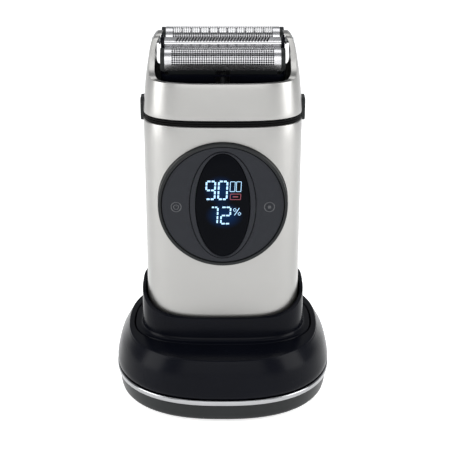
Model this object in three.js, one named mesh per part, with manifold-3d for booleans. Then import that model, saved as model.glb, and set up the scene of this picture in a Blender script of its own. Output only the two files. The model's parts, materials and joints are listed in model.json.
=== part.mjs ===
// A three-row foil shaver standing in its charging dock, as an assembly of separate pieces.
// Millimetres, +Z up, the front faces -Y, and the origin is on the table under the dock's centre.
import * as THREE from 'three';
import { mergeVertices } from 'three/addons/utils/BufferGeometryUtils.js';
import Module from 'manifold-3d';

const wasm = await Module();
wasm.setup();

// ---------------------------------------------------------------- driving dimensions

const SEAM = 0.3; // gap left between pieces that meet
const TURN_STEPS = 40; // facets round a squircle section
const ARC_STEPS = 4; // facets round a quarter of a fillet

// Half sizes are measured along X (width) and Y (depth). A squircle is |x/a|^power + |y/b|^power = 1.
const DOCK = {
  power: 2.42,
  sideFlare: 6.2, // widest line beyond the top plate, at the sides
  frontFlare: 3.7, // and at the front and back
  wall: 2.2,
  footHeight: 1.2,
  baseTop: 9.3,
  ringHeight: 2.4,
  ringDepth: 2.6,
  plateHeight: 29.8,
  plateMargin: 2.6, // top plate beyond the cup insert, at the sides
  plateHalfDepth: 42.8,
  screwSideInset: 13.6, // screws in from the top plate's edge
  screwFrontInset: 10.528, // and from the outline beside their bosses
  footInset: 15.8, // rubber feet in from the widest line
  footY: 17,
  footRadius: 5,
  ballastThickness: 2.8,
  boardThickness: 1.6,
};

const CUP = {
  wall: 1.5,
  power: 3.3,
  flangeSide: 3.5, // insert beyond the cup's wall, at the sides
  flangeFront: 3.5, // and at the front and back
  flangePower: 2.8,
  groove: 0.45,
  clearance: 1.0,
  rimBack: 49.6,
  rimSide: 48,
  rimFront: 40.4,
};

const BODY = {
  halfWidth: 34,
  halfDepth: 21.6,
  power: 3.1,
  bottom: 20,
  top: 127.7,
  cornerWidth: 13,
  cornerDepth: 8,
  wall: 1.8,
  splitY: 2,
};

const DIAL = {
  height: 93.6,
  radius: 27.6,
  rim: 1.3,
  front: 2.0, // how far the ring stands in front of the body's middle
  skirt: 8.4,
  faceRecess: 0.5,
  faceThickness: 1.4,
  bezelHalfWidth: 14,
  bezelBridge: 2, // face left above and below the display's oval
  lensSideBand: 2.5, // oval ring shown beside the window
  lensEndBand: 0.9, // and above and below it
  bezelProud: 0.3,
  bezelDepth: 4.6,
  moduleInset: 3.7, // display module in from the window's sides
  moduleRise: 0.026, // and its corners past the window's oval
  keyGap: 2.915, // key switches out from the oval ring
};

const SEAL = { height: 2 };

const COLLAR = {
  sideStep: 0, // collar beyond the body, at the sides
  frontStep: 0, // and at the front and back
  wall: 1.9,
  rimHeight: 15.4, // front rim above the collar's lower edge
  armHeight: 33.2, // arm tips above the collar's lower edge
  armRoot: 11.5, // half the arm's breadth where it leaves the rim
  armTip: 4.6,
};

const BUTTON = { halfBreadth: 4.5, bottom: 125.5, top: 135.5, proud: 1.2, depth: 4.2, travel: 1.5 };

const HEAD = {
  tilt: 18, // degrees, top leaning to the front
  pivotHeight: 159.5,
  pinRadius: 1.2,
  halfLength: 26,
  rowPitch: 8.6,
  archDrop: 3.8, // arch centres below the pivot
  archRadius: 4.6,
  sheet: 0.5,
  skirt: 2.7,
  endCap: 1.6,
  trimmerHalfWidth: 2.6,
  trimmerTop: 0.4,
  tubDepth: 3.9,
  tubWall: 1.2,
  tubCorner: 2,
  tubBand: 0.5, // rim left over the prongs' slot
  cheekTop: 2.2,
  cheekReach: 3.5, // cheeks down into the tub's end walls
  railHeight: 0.6,
  railWidth: 0.9,
  apron: 0.6,
  apronReach: 1.6, // aprons below the tub's rim
  floatTravel: 1.5,
  forkFoot: 2.8, // half a fork's depth where the prong rides, and above it
  forkNeck: 1.8,
  forkDrop: 0.4, // forks below the tub
};

const DRIVE = {
  motorRadius: 12,
  motorLength: 27,
  axisY: 5,
  throw: 1.2,
  crankPin: 1,
  hubRadius: 4.4,
  prongRadius: 1.2,
  bladeCount: 12,
  bladeThickness: 0.8,
};

const CELL = { radius: 9.2, length: 65, axisY: 6, bottom: 28 };
const SCREW = { shaft: 1.2, head: 2.3, headHeight: 0.9, boss: 3.2, length: 13 };
const CHASSIS = {
  plateFront: 10.6,
  plate: 1.8,
  plateHalfWidth: 22,
  wall: 2.4,
  neckInset: 6.6, // neck in from the collar's side
  neckRoom: 1.484, // behind the rear prong
  neckRise: 9.3,
};
const INLET = { halfWidth: 4.5, halfHeight: 1.6, depth: 7.5, skin: 0.35, tongue: 3.3, setBack: 3.4 };
const BALLAST = { halfWidth: 24, frontInset: 14, backInset: 24, corner: 4 };
const DOCK_BOARD = { halfWidth: 14, front: -10, backInset: 6.5, corner: 1.5 };
const KEY_SWITCH = { half: 3, height: 3.6, plunger: 1.4 };
const FORK = { thickness: 1.2, footTop: 0.8, neckRise: 0.6 };
const ROUND_END = 0.05; // a round end's radius is this much under half its height
const CONTACT = { spacing: 7, pinRadius: 1.2, padRadius: 2.4, pinFoot: 1.6, pinShoulder: 3 };

// ---------------------------------------------------------------- places worked out from them

const COLLAR_HALF_WIDTH = BODY.halfWidth + COLLAR.sideStep;
const COLLAR_HALF_DEPTH = BODY.halfDepth + COLLAR.frontStep;
const NECK_HALF_WIDTH = COLLAR_HALF_WIDTH - CHASSIS.neckInset;
const CUP_GROWTH = CUP.clearance + CUP.wall;
const FLANGE_HALF_WIDTH = BODY.halfWidth + CUP_GROWTH + CUP.flangeSide;
const FLANGE_HALF_DEPTH = BODY.halfDepth + CUP_GROWTH + CUP.flangeFront;
const PLATE_HALF_WIDTH = FLANGE_HALF_WIDTH + DOCK.plateMargin;
const DOCK_HALF_WIDTH = PLATE_HALF_WIDTH + DOCK.sideFlare;
const DOCK_HALF_DEPTH = DOCK.plateHalfDepth + DOCK.frontFlare;
const DOCK_SCREW_X = PLATE_HALF_WIDTH - DOCK.screwSideInset;
const BOSS_SHARE = (DOCK_SCREW_X + SCREW.boss) / DOCK_HALF_WIDTH;
const BOSS_OUTLINE = DOCK_HALF_DEPTH * (1 - BOSS_SHARE ** DOCK.power) ** (1 / DOCK.power);
const DOCK_SCREW = [DOCK_SCREW_X, BOSS_OUTLINE - DOCK.screwFrontInset];
const RUBBER_FOOT = [DOCK_HALF_WIDTH - DOCK.footInset, DOCK.footY];
const RING_BOTTOM = DOCK.baseTop + SEAM;
const RING_TOP = RING_BOTTOM + DOCK.ringHeight;
const DOCK_FLOOR = DOCK.footHeight + DOCK.wall;
const PLATE_UNDER = DOCK.plateHeight - DOCK.wall;
const BOARD_BOTTOM = DOCK_FLOOR + SEAM + DOCK.ballastThickness + SEAM;
const BOARD_TOP = BOARD_BOTTOM + DOCK.boardThickness;
const CUP_FLOOR = BODY.bottom - SEAM;
const BODY_FRONT = -BODY.halfDepth;
const DIAL_FRONT = BODY_FRONT - DIAL.front;
const FACE_FRONT = DIAL_FRONT + DIAL.faceRecess;
const FACE_BACK = FACE_FRONT + DIAL.faceThickness;
const FACE_RADIUS = DIAL.radius - DIAL.rim - SEAM;
const BEZEL_HALF_HEIGHT = FACE_RADIUS - DIAL.bezelBridge;
const LENS_HALF_WIDTH = DIAL.bezelHalfWidth - DIAL.lensSideBand;
const LENS_HALF_HEIGHT = BEZEL_HALF_HEIGHT - DIAL.lensEndBand;
const SEAL_BOTTOM = BODY.top + SEAM;
const SEAL_TOP = SEAL_BOTTOM + SEAL.height;
const COLLAR_BOTTOM = SEAL_TOP + SEAM;
const COLLAR_RIM = COLLAR_BOTTOM + COLLAR.rimHeight;
const ARM_TOP = COLLAR_BOTTOM + COLLAR.armHeight;
const NECK_TOP = BODY.top + CHASSIS.neckRise;
const BOARD_Y = BODY_FRONT + 7.2; // front of the main board
const MOTOR_BOTTOM = CELL.bottom + CELL.length + 2;
const MOTOR_TOP = MOTOR_BOTTOM + DRIVE.motorLength;
const ARCH_INNER = HEAD.archRadius - HEAD.sheet;
const SKIRT_END = -HEAD.archDrop - HEAD.skirt;
const RAIL_BOTTOM = SKIRT_END - HEAD.railHeight;
const TUB_TOP = RAIL_BOTTOM - HEAD.floatTravel - SEAM;
const TUB_BOTTOM = TUB_TOP - HEAD.tubDepth;
const TUB_HALF_DEPTH = HEAD.rowPitch + HEAD.archRadius + 0.6;
const ROWS = { front: -HEAD.rowPitch, rear: HEAD.rowPitch };
const SHEET_HALF_LENGTH = HEAD.halfLength - HEAD.endCap - 0.2;
const GUARD_HALF_LENGTH = HEAD.halfLength - HEAD.tubWall - SEAM;
const BLADE_HALF_LENGTH = SHEET_HALF_LENGTH - DRIVE.throw - 1.2;
const PRONG_DROP = 1.9; // prong tips below the tub's rim, clear of the cutters at every tilt
const PRONG_SLOT = DRIVE.prongRadius + DRIVE.throw + 2 * SEAM; // half the slot the prongs swing in
const [REAR_PRONG_Y] = headPoint(ROWS.rear, TUB_TOP - PRONG_DROP);
const NECK_HALF_DEPTH = REAR_PRONG_Y + DRIVE.prongRadius + CHASSIS.neckRoom + CHASSIS.wall;
const YOKE_FRONT = -8;
const YOKE_BACK = NECK_HALF_DEPTH - CHASSIS.wall - 1.2;
const DOCK_SCREWS = [[1, 1], [-1, 1], [-1, -1], [1, -1]];

// ---------------------------------------------------------------- making solids

const AXIS_X = new THREE.Vector3(1, 0, 0);
const AXIS_Y = new THREE.Vector3(0, 1, 0);
const AXIS_Z = new THREE.Vector3(0, 0, 1);

// The closed geometry as a manifold solid, its shared corners merged and empty facets left out.
function solid(geometry) {
  const bare = geometry.clone();
  for (const extra of ['normal', 'uv', 'uv1']) bare.deleteAttribute(extra);
  const merged = mergeVertices(bare, 1e-4);
  const corners = merged.index.array;
  const kept = [];
  for (let i = 0; i < corners.length; i += 3) {
    const [a, b, c] = corners.slice(i, i + 3);
    if (a !== b && b !== c && c !== a) kept.push(a, b, c);
  }
  const vertProperties = new Float32Array(merged.getAttribute('position').array);
  return new wasm.Manifold(new wasm.Mesh({ numProp: 3, vertProperties, triVerts: new Uint32Array(kept) }));
}

// Joins and then cuts geometries, and gives the result back as a geometry.
function shaped(base, { join = [], cut = [], keep = [] }) {
  let result = solid(base);
  for (const piece of join) result = result.add(solid(piece));
  for (const piece of cut) result = result.subtract(solid(piece));
  for (const piece of keep) result = result.intersect(solid(piece));
  const mesh = result.getMesh();
  const geometry = new THREE.BufferGeometry();
  const places = new Float32Array(mesh.numVert * 3);
  for (let i = 0; i < mesh.numVert; i++) {
    for (let k = 0; k < 3; k++) places[3 * i + k] = mesh.vertProperties[mesh.numProp * i + k];
  }
  geometry.setAttribute('position', new THREE.BufferAttribute(places, 3));
  geometry.setIndex(new THREE.BufferAttribute(new Uint32Array(mesh.triVerts), 1));
  return geometry;
}

// A turned solid whose level sections are squircles. Each row is [half width, half depth, height, power].
function squircle(rows, power) {
  const outline = rows.map(([halfWidth, , height]) => new THREE.Vector2(halfWidth, height));
  const geometry = new THREE.LatheGeometry(outline, TURN_STEPS);
  const position = geometry.getAttribute('position');
  const bow = (value, exponent) => Math.sign(value) * Math.abs(value) ** (2 / exponent);
  for (let i = 0; i < position.count; i++) {
    const [halfWidth, halfDepth, height, ownPower = power] = rows[i % rows.length];
    const turn = (2 * Math.PI * Math.floor(i / rows.length)) / TURN_STEPS;
    const x = halfWidth * bow(Math.sin(turn), ownPower);
    const y = -halfDepth * bow(Math.cos(turn), ownPower);
    position.setXYZ(i, x, y, height);
  }
  return geometry;
}

// Extrusions of a flat shape between two places along an axis. The shape's own x and y are
// X and Y for alongZ, X and Z for alongY, and Y and Z for alongX.
function alongZ(shape, from, to, curveSegments = 12) {
  const geometry = new THREE.ExtrudeGeometry(shape, { depth: to - from, bevelEnabled: false, curveSegments });
  return geometry.translate(0, 0, from);
}

function alongY(shape, from, to, curveSegments = 12) {
  const turn = new THREE.Matrix4().makeBasis(AXIS_X, AXIS_Z, AXIS_Y.clone().negate());
  return alongZ(shape, 0, to - from, curveSegments).applyMatrix4(turn).translate(0, to, 0);
}

function alongX(shape, from, to, curveSegments = 12) {
  const turn = new THREE.Matrix4().makeBasis(AXIS_Y, AXIS_Z, AXIS_X);
  return alongZ(shape, 0, to - from, curveSegments).applyMatrix4(turn).translate(from, 0, 0);
}

const disc = (x, y, radius) => new THREE.Shape().absarc(x, y, radius, 0, 2 * Math.PI);
const oval = (x, y, halfWidth, halfHeight) =>
  new THREE.Shape().absellipse(x, y, halfWidth, halfHeight, 0, 2 * Math.PI);

// A rectangle between two corners, with rounded corners where a radius is given.
function panel(x0, y0, x1, y1, radius = 0) {
  const shape = new THREE.Shape();
  if (!radius) {
    return shape.setFromPoints([[x0, y0], [x1, y0], [x1, y1], [x0, y1]].map((p) => new THREE.Vector2(...p)));
  }
  shape.moveTo(x0 + radius, y0);
  shape.absarc(x1 - radius, y0 + radius, radius, -Math.PI / 2, 0);
  shape.absarc(x1 - radius, y1 - radius, radius, 0, Math.PI / 2);
  shape.absarc(x0 + radius, y1 - radius, radius, Math.PI / 2, Math.PI);
  return shape.absarc(x0 + radius, y0 + radius, radius, Math.PI, 1.5 * Math.PI);
}

function withHole(shape, hole) {
  shape.holes.push(hole);
  return shape;
}

const block = (x0, y0, z0, x1, y1, z1, radius = 0) => alongZ(panel(x0, y0, x1, y1, radius), z0, z1, 3);

// ---------------------------------------------------------------- materials

const LOOKS = {
  satinMetal: { color: 0xc2c2bd, roughness: 0.32, metalness: 1 },
  chrome: { color: 0xe6e6e8, roughness: 0.06, metalness: 1 },
  foilMetal: { color: 0xb9b9bd, roughness: 0.22, metalness: 1 },
  bladeSteel: { color: 0x9a9a9e, roughness: 0.3, metalness: 1 },
  glossBlack: { color: 0x101216, roughness: 0.12, metalness: 0 },
  satinBlack: { color: 0x2a2c2d, roughness: 0.45, metalness: 0 },
  dialFace: { color: 0x32353a, roughness: 0.4, metalness: 0.3 },
  displayGlass: { color: 0x05060a, roughness: 0.05, metalness: 0 },
  rubber: { color: 0x1b1b1c, roughness: 0.8, metalness: 0 },
  innerPlastic: { color: 0x55585c, roughness: 0.6, metalness: 0 },
  circuitBoard: { color: 0x1f4a33, roughness: 0.5, metalness: 0 },
  cellWrap: { color: 0x2f5f9e, roughness: 0.4, metalness: 0 },
  motorCan: { color: 0xa8a9ab, roughness: 0.35, metalness: 1 },
  brass: { color: 0xc9a553, roughness: 0.3, metalness: 1 },
  steel: { color: 0x77797c, roughness: 0.45, metalness: 1 },
};
const FINISHES = Object.fromEntries(
  Object.entries(LOOKS).map(([name, look]) => [name, new THREE.MeshStandardMaterial({ name, ...look })]),
);

function piece(name, geometry, finish) {
  geometry.computeVertexNormals();
  const mesh = new THREE.Mesh(geometry, FINISHES[finish]);
  mesh.name = name;
  return mesh;
}

// ---------------------------------------------------------------- dock

// The dock's outline drawn in by a distance from its widest line.
const dockRow = (inset, height) => [DOCK_HALF_WIDTH - inset, DOCK_HALF_DEPTH - inset, height];

function dockBase() {
  const top = DOCK.baseTop;
  const tray = squircle([
    [0, 0, DOCK.footHeight],
    dockRow(2.8, DOCK.footHeight),
    dockRow(1.7, DOCK.footHeight + 1.4),
    dockRow(0.8, top),
    dockRow(0.8 + DOCK.wall, top),
    dockRow(3.2 + DOCK.wall, DOCK_FLOOR),
    [0, 0, DOCK_FLOOR],
  ], DOCK.power);
  const cut = DOCK_SCREWS.flatMap(([sx, sy]) => {
    const [x, y] = [sx * DOCK_SCREW[0], sy * DOCK_SCREW[1]];
    return [
      alongZ(disc(x, y, SCREW.shaft + SEAM), 0, DOCK_FLOOR + 1, 8),
      alongZ(disc(x, y, SCREW.head + SEAM), 0, DOCK.footHeight + SCREW.headHeight + SEAM, 8),
    ];
  });
  const middle = inletHeight();
  const reach = INLET.halfHeight + SEAM;
  const width = INLET.halfWidth + SEAM;
  const slot = panel(-width, middle - reach, width, middle + reach, reach - ROUND_END);
  cut.push(alongY(slot, DOCK_HALF_DEPTH / 2, DOCK_HALF_DEPTH + 1, 4));
  return shaped(tray, { cut });
}

const inletHeight = () => BOARD_BOTTOM - 0.1 - INLET.halfHeight;

function chromeRing() {
  const edge = 0.5;
  return squircle([
    dockRow(DOCK.ringDepth, RING_BOTTOM),
    dockRow(edge, RING_BOTTOM),
    dockRow(0, RING_BOTTOM + edge),
    dockRow(0, RING_TOP - edge),
    dockRow(edge, RING_TOP),
    dockRow(DOCK.ringDepth, RING_TOP),
    dockRow(DOCK.ringDepth, RING_BOTTOM),
  ], DOCK.power);
}

function dockCover() {
  const low = RING_TOP + SEAM;
  const top = DOCK.plateHeight;
  const openWidth = FLANGE_HALF_WIDTH + CUP.groove;
  const openDepth = FLANGE_HALF_DEPTH + CUP.groove;
  const shell = squircle([
    dockRow(0.9, low),
    dockRow(0.3, low + 1.2),
    dockRow(0.6, low + 4.2),
    [PLATE_HALF_WIDTH + 4.1, DOCK.plateHalfDepth + 2.2, low + 0.6 * (top - low)],
    [PLATE_HALF_WIDTH + 0.4, DOCK.plateHalfDepth + 0.3, top - 0.7],
    [PLATE_HALF_WIDTH - 0.2, DOCK.plateHalfDepth - 0.3, top],
    [openWidth, openDepth, top, CUP.flangePower],
    [openWidth, openDepth, PLATE_UNDER, CUP.flangePower],
    [openWidth + 0.3, DOCK.plateHalfDepth - DOCK.wall, PLATE_UNDER],
    [PLATE_HALF_WIDTH + 4.1 - DOCK.wall, DOCK.plateHalfDepth + 2.2 - DOCK.wall, low + 0.6 * (top - low)],
    dockRow(0.9 + DOCK.wall, low),
    dockRow(0.9, low),
  ], DOCK.power);
  const join = [];
  const cut = [];
  for (const [sx, sy] of DOCK_SCREWS) {
    const [x, y] = [sx * DOCK_SCREW[0], sy * DOCK_SCREW[1]];
    join.push(alongZ(disc(x, y, SCREW.boss), DOCK_FLOOR + SEAM, PLATE_UNDER + 0.5, 8));
    cut.push(alongZ(disc(x, y, SCREW.shaft + SEAM), DOCK_FLOOR, DOCK_FLOOR + 13, 8));
  }
  return shaped(shell, { join, cut });
}

// The handset's outline between its lower end and its straight sides, grown by a clearance.
function bodyCorner(growth) {
  const rows = [];
  for (let i = 0; i <= ARC_STEPS; i++) {
    const turn = (i / ARC_STEPS) * (Math.PI / 2);
    rows.push([
      BODY.halfWidth - BODY.cornerWidth * (1 - Math.sin(turn)) + growth,
      BODY.halfDepth - BODY.cornerDepth * (1 - Math.sin(turn)) + growth,
      BODY.bottom + BODY.cornerWidth * (1 - Math.cos(turn)) - growth * Math.cos(turn),
    ]);
  }
  return rows;
}

function dockCup() {
  const inner = bodyCorner(CUP.clearance).map(([a, b, z]) => [a, b, Math.max(z, CUP_FLOOR)]);
  const outWidth = BODY.halfWidth + CUP_GROWTH;
  const outDepth = BODY.halfDepth + CUP_GROWTH;
  const tall = CUP.rimBack + 6;
  const flangeUnder = PLATE_UNDER;
  const cup = squircle([
    [0, 0, CUP_FLOOR - CUP.wall],
    ...bodyCorner(CUP_GROWTH).filter((row) => row[2] < flangeUnder - 2),
    [outWidth, outDepth, flangeUnder],
    [FLANGE_HALF_WIDTH, FLANGE_HALF_DEPTH, flangeUnder, CUP.flangePower],
    [FLANGE_HALF_WIDTH, FLANGE_HALF_DEPTH, DOCK.plateHeight, CUP.flangePower],
    [outWidth + 0.9, outDepth + 0.9, DOCK.plateHeight],
    [outWidth + 0.2, outDepth + 0.2, DOCK.plateHeight + 1.2],
    [outWidth - 0.2, outDepth - 0.2, tall],
    [BODY.halfWidth + CUP.clearance, BODY.halfDepth + CUP.clearance, tall],
    ...inner.reverse(),
    [0, 0, CUP_FLOOR],
  ], CUP.power);
  const far = BODY.halfDepth + 12;
  const rim = new THREE.Shape();
  rim.moveTo(-far, CUP.rimFront);
  rim.lineTo(-outDepth, CUP.rimFront);
  rim.bezierCurveTo(-outDepth * 0.75, CUP.rimFront, -outDepth * 0.55, CUP.rimSide, 0, CUP.rimSide);
  rim.lineTo(far, CUP.rimBack + 0.6);
  rim.lineTo(far, tall + 5);
  rim.lineTo(-far, tall + 5);
  const cut = [alongX(rim, -60, 60, 10)];
  for (const side of [-1, 1]) {
    const pinHole = disc(side * CONTACT.spacing, 0, CONTACT.pinRadius + SEAM);
    cut.push(alongZ(pinHole, CUP_FLOOR - 9, CUP_FLOOR + 3, 6));
  }
  return shaped(cup, { cut });
}

function dockPin(side) {
  const top = CUP_FLOOR - 0.1;
  const x = side * CONTACT.spacing;
  const low = BOARD_TOP + CONTACT.pinFoot;
  const stem = alongZ(disc(x, 0, CONTACT.pinRadius), low, top, 6);
  const shoulder = alongZ(disc(x, 0, CONTACT.padRadius), low, BOARD_TOP + CONTACT.pinShoulder, 6);
  return shaped(stem, { join: [shoulder] });
}

function dockBallast() {
  const { halfWidth, frontInset, backInset, corner } = BALLAST;
  const [front, back] = [-DOCK_HALF_DEPTH + frontInset, DOCK_HALF_DEPTH - backInset];
  const low = DOCK_FLOOR + SEAM;
  return block(-halfWidth, front, low, halfWidth, back, low + DOCK.ballastThickness, corner);
}

function dockBoard() {
  const { halfWidth, front, backInset, corner } = DOCK_BOARD;
  return block(-halfWidth, front, BOARD_BOTTOM, halfWidth, DOCK_HALF_DEPTH - backInset, BOARD_TOP, corner);
}

function dockInlet() {
  const middle = inletHeight();
  const { halfWidth, halfHeight, depth, skin, tongue: reach, setBack } = INLET;
  const back = DOCK_HALF_DEPTH - setBack;
  const rounded = (inset) => panel(
    -halfWidth + inset, middle - halfHeight + inset,
    halfWidth - inset, middle + halfHeight - inset, halfHeight - inset - ROUND_END,
  );
  const mouth = rounded(skin);
  const can = alongY(rounded(0), back - depth, back, 4);
  const tongue = alongY(panel(-reach, middle - skin, reach, middle + skin), back - depth, back - 1, 1);
  return shaped(shaped(can, { cut: [alongY(mouth, back - depth + 1, back + 1, 4)] }), { join: [tongue] });
}

function dockScrew([sx, sy]) {
  const [x, y] = [sx * DOCK_SCREW[0], sy * DOCK_SCREW[1]];
  const low = DOCK.footHeight + SEAM;
  const head = alongZ(disc(x, y, SCREW.head), low, low + SCREW.headHeight, 8);
  const shaft = alongZ(disc(x, y, SCREW.shaft), low + 0.1, DOCK_FLOOR + 11, 6);
  const slots = [panel(x - 1.5, y - 0.3, x + 1.5, y + 0.3), panel(x - 0.3, y - 1.5, x + 0.3, y + 1.5)];
  return shaped(head, { join: [shaft], cut: slots.map((slot) => alongZ(slot, low - 1, low + 0.5, 1)) });
}

function rubberFoot([sx, sy]) {
  const pad = disc(sx * RUBBER_FOOT[0], sy * RUBBER_FOOT[1], DOCK.footRadius);
  return alongZ(pad, 0, DOCK.footHeight - 0.05, 10);
}

function makeDock() {
  const dock = new THREE.Group();
  dock.add(
    piece('dock_base', dockBase(), 'satinBlack'),
    piece('chrome_ring', chromeRing(), 'chrome'),
    piece('dock_cover', dockCover(), 'glossBlack'),
    piece('dock_cup', dockCup(), 'glossBlack'),
    piece('dock_ballast', dockBallast(), 'steel'),
    piece('dock_board', dockBoard(), 'circuitBoard'),
    piece('dock_inlet', dockInlet(), 'steel'),
    piece('dock_pin_left', dockPin(-1), 'brass'),
    piece('dock_pin_right', dockPin(1), 'brass'),
  );
  DOCK_SCREWS.forEach((corner, i) => {
    dock.add(piece(`dock_screw_${i + 1}`, dockScrew(corner), 'steel'));
    dock.add(piece(`rubber_foot_${i + 1}`, rubberFoot(corner), 'rubber'));
  });
  return dock;
}

// ---------------------------------------------------------------- handset body

// The whole case as one cup, before it is split into a front and a rear shell.
function caseRows() {
  const inner = bodyCorner(-BODY.wall);
  return [
    [0, 0, BODY.bottom],
    ...bodyCorner(0),
    [BODY.halfWidth, BODY.halfDepth, BODY.top - 0.5],
    [BODY.halfWidth - 0.5, BODY.halfDepth - 0.5, BODY.top],
    [BODY.halfWidth - BODY.wall, BODY.halfDepth - BODY.wall, BODY.top],
    ...inner.reverse(),
    [0, 0, BODY.bottom + BODY.wall],
  ];
}

// The opening for both release buttons, right across the handset.
function buttonSlot(low, high) {
  const half = BUTTON.halfBreadth + SEAM;
  return alongX(panel(-half, low, half, high), -60, 60, 1);
}

function contactHole(side) {
  const hole = disc(side * CONTACT.spacing, 0, CONTACT.padRadius + SEAM);
  return alongZ(hole, BODY.bottom - 1, BODY.bottom + BODY.wall + 1, 8);
}

function frontShell() {
  const half = block(-60, -60, 0, 60, BODY.splitY - SEAM / 2, 200);
  const dialHole = alongY(disc(0, DIAL.height, DIAL.radius + SEAM), -60, -5, 24);
  const cut = [dialHole, buttonSlot(BUTTON.bottom - SEAM, BODY.top + 1), contactHole(-1), contactHole(1)];
  return shaped(squircle(caseRows(), BODY.power), { cut, keep: [half] });
}

function rearShell() {
  const half = block(-60, BODY.splitY + SEAM / 2, 0, 60, 60, 200);
  const cut = [buttonSlot(BUTTON.bottom - SEAM, BODY.top + 1), contactHole(-1), contactHole(1)];
  for (const [x, z] of shellScrewPlaces()) {
    cut.push(alongY(disc(x, z, SCREW.shaft + SEAM), 10, 60, 6));
    cut.push(alongY(disc(x, z, SCREW.head + SEAM), screwSeat(), 60, 8));
  }
  return shaped(squircle(caseRows(), BODY.power), { cut, keep: [half] });
}

// Four screws hold the rear shell to the chassis, beside the cell and beside the motor.
function shellScrewPlaces() {
  const low = CELL.radius + SCREW.boss + 2.5;
  const high = DRIVE.motorRadius + SCREW.boss + 1.6;
  const up = BUTTON.bottom - 11;
  const down = BODY.bottom + BODY.cornerWidth + 4;
  return [[low, down], [-low, down], [-high, up], [high, up]];
}

const screwSeat = () => BODY.halfDepth - BODY.wall + 0.2;

function shellScrew([x, z]) {
  const seat = screwSeat() + 0.1;
  const head = alongY(disc(x, z, SCREW.head), seat, seat + 0.6, 8);
  const shaft = alongY(disc(x, z, SCREW.shaft), BODY.halfDepth - SCREW.length, seat + 0.1, 6);
  const slot = alongY(panel(x - 1.5, z - 0.3, x + 1.5, z + 0.3), seat + 0.3, seat + 2, 1);
  return shaped(head, { join: [shaft], cut: [slot] });
}

function innerChassis() {
  const plateY = -CHASSIS.plateFront;
  const { wall, plate, plateHalfWidth } = CHASSIS;
  const [width, depth] = [NECK_HALF_WIDTH, NECK_HALF_DEPTH];
  const plugTop = BODY.top - SEAM;
  const plugUnder = plugTop - 4;
  const plugWidth = BODY.halfWidth - BODY.wall - SEAM;
  const plugDepth = BODY.halfDepth - BODY.wall - SEAM;
  const roof = NECK_TOP - plate;
  const neck = squircle([
    [width - wall, depth - wall, plugUnder],
    [plugWidth, plugDepth, plugUnder],
    [plugWidth, plugDepth, plugTop],
    [width, depth, plugTop],
    [width, depth, NECK_TOP],
    [0, 0, NECK_TOP],
    [0, 0, roof],
    [width - wall, depth - wall, roof],
    [width - wall, depth - wall, plugUnder],
  ], BODY.power);
  const shelf = MOTOR_TOP + SEAM;
  const join = [
    block(-plateHalfWidth, plateY, BODY.bottom + 8, plateHalfWidth, plateY + plate, roof + 0.5),
    block(-plateHalfWidth, plateY + 0.5, shelf, plateHalfWidth, depth - 1, shelf + plate),
  ];
  const cut = [
    alongZ(disc(0, DRIVE.axisY, DRIVE.hubRadius + 1.5), shelf - 1, shelf + plate + 1, 10),
    prongWindow(roof - 1, NECK_TOP + 1),
    buttonWell(-1, BUTTON.bottom - 4, NECK_TOP + 1),
    buttonWell(1, BUTTON.bottom - 4, NECK_TOP + 1),
  ];
  for (const [x, z] of shellScrewPlaces()) {
    join.push(alongY(disc(x, z, SCREW.boss), plateY + 0.5, BODY.halfDepth - BODY.wall - 2, 8));
    cut.push(alongY(disc(x, z, SCREW.shaft + SEAM), BODY.halfDepth - SCREW.length - 1, 60, 6));
  }
  return shaped(neck, { join, cut });
}

// The room that a release button needs inside the handset, its travel included.
function buttonWell(side, low, high) {
  const inner = BODY.halfWidth + BUTTON.proud - BUTTON.depth - BUTTON.travel - SEAM;
  const [x0, x1] = side < 0 ? [-60, -inner] : [inner, 60];
  const half = BUTTON.halfBreadth + SEAM;
  return block(x0, -half, low, x1, half, high);
}

// The slot that the drive's prongs stand in, with room for their stroke.
function prongWindow(low, high) {
  const reach = DRIVE.throw + DRIVE.prongRadius + 1.4;
  const places = prongs().map(([y]) => y);
  return block(-reach, Math.min(...places) - reach, low, reach, Math.max(...places) + reach, high, 1.5);
}

function neckSeal() {
  const [width, depth] = [BODY.halfWidth - 0.4, BODY.halfDepth - 0.4];
  const [innerWidth, innerDepth] = [NECK_HALF_WIDTH + SEAM, NECK_HALF_DEPTH + SEAM];
  const ring = squircle([
    [innerWidth, innerDepth, SEAL_BOTTOM],
    [width, depth, SEAL_BOTTOM],
    [width, depth, SEAL_TOP],
    [innerWidth, innerDepth, SEAL_TOP],
    [innerWidth, innerDepth, SEAL_BOTTOM],
  ], BODY.power);
  return shaped(ring, { cut: [-1, 1].map((side) => buttonWell(side, SEAL_BOTTOM - 1, SEAL_TOP + 1)) });
}

function releaseButton(side) {
  const outer = BODY.halfWidth + BUTTON.proud;
  const inner = outer - BUTTON.depth;
  const outline = panel(-BUTTON.halfBreadth, BUTTON.bottom, BUTTON.halfBreadth, BUTTON.top, 2);
  const face = alongX(outline, 0, BUTTON.depth, 4);
  return face.translate(side < 0 ? -outer : inner, 0, 0);
}

// ---------------------------------------------------------------- dial and display

function dialRing() {
  const rim = withHole(disc(0, DIAL.height, DIAL.radius), disc(0, DIAL.height, DIAL.radius - DIAL.rim));
  const ledgeHole = disc(0, DIAL.height, DIAL.radius - DIAL.rim - 2);
  const ledge = withHole(disc(0, DIAL.height, DIAL.radius - 0.2), ledgeHole);
  const floor = FACE_BACK + 1.6;
  const join = [alongY(ledge, floor, floor + 1.4, 24)];
  return shaped(alongY(rim, DIAL_FRONT, DIAL_FRONT + DIAL.skirt, 24), { join });
}

function dialFace() {
  const hole = oval(0, DIAL.height, DIAL.bezelHalfWidth + SEAM, BEZEL_HALF_HEIGHT + SEAM);
  return alongY(withHole(disc(0, DIAL.height, FACE_RADIUS), hole), FACE_FRONT, FACE_BACK, 24);
}

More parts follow.
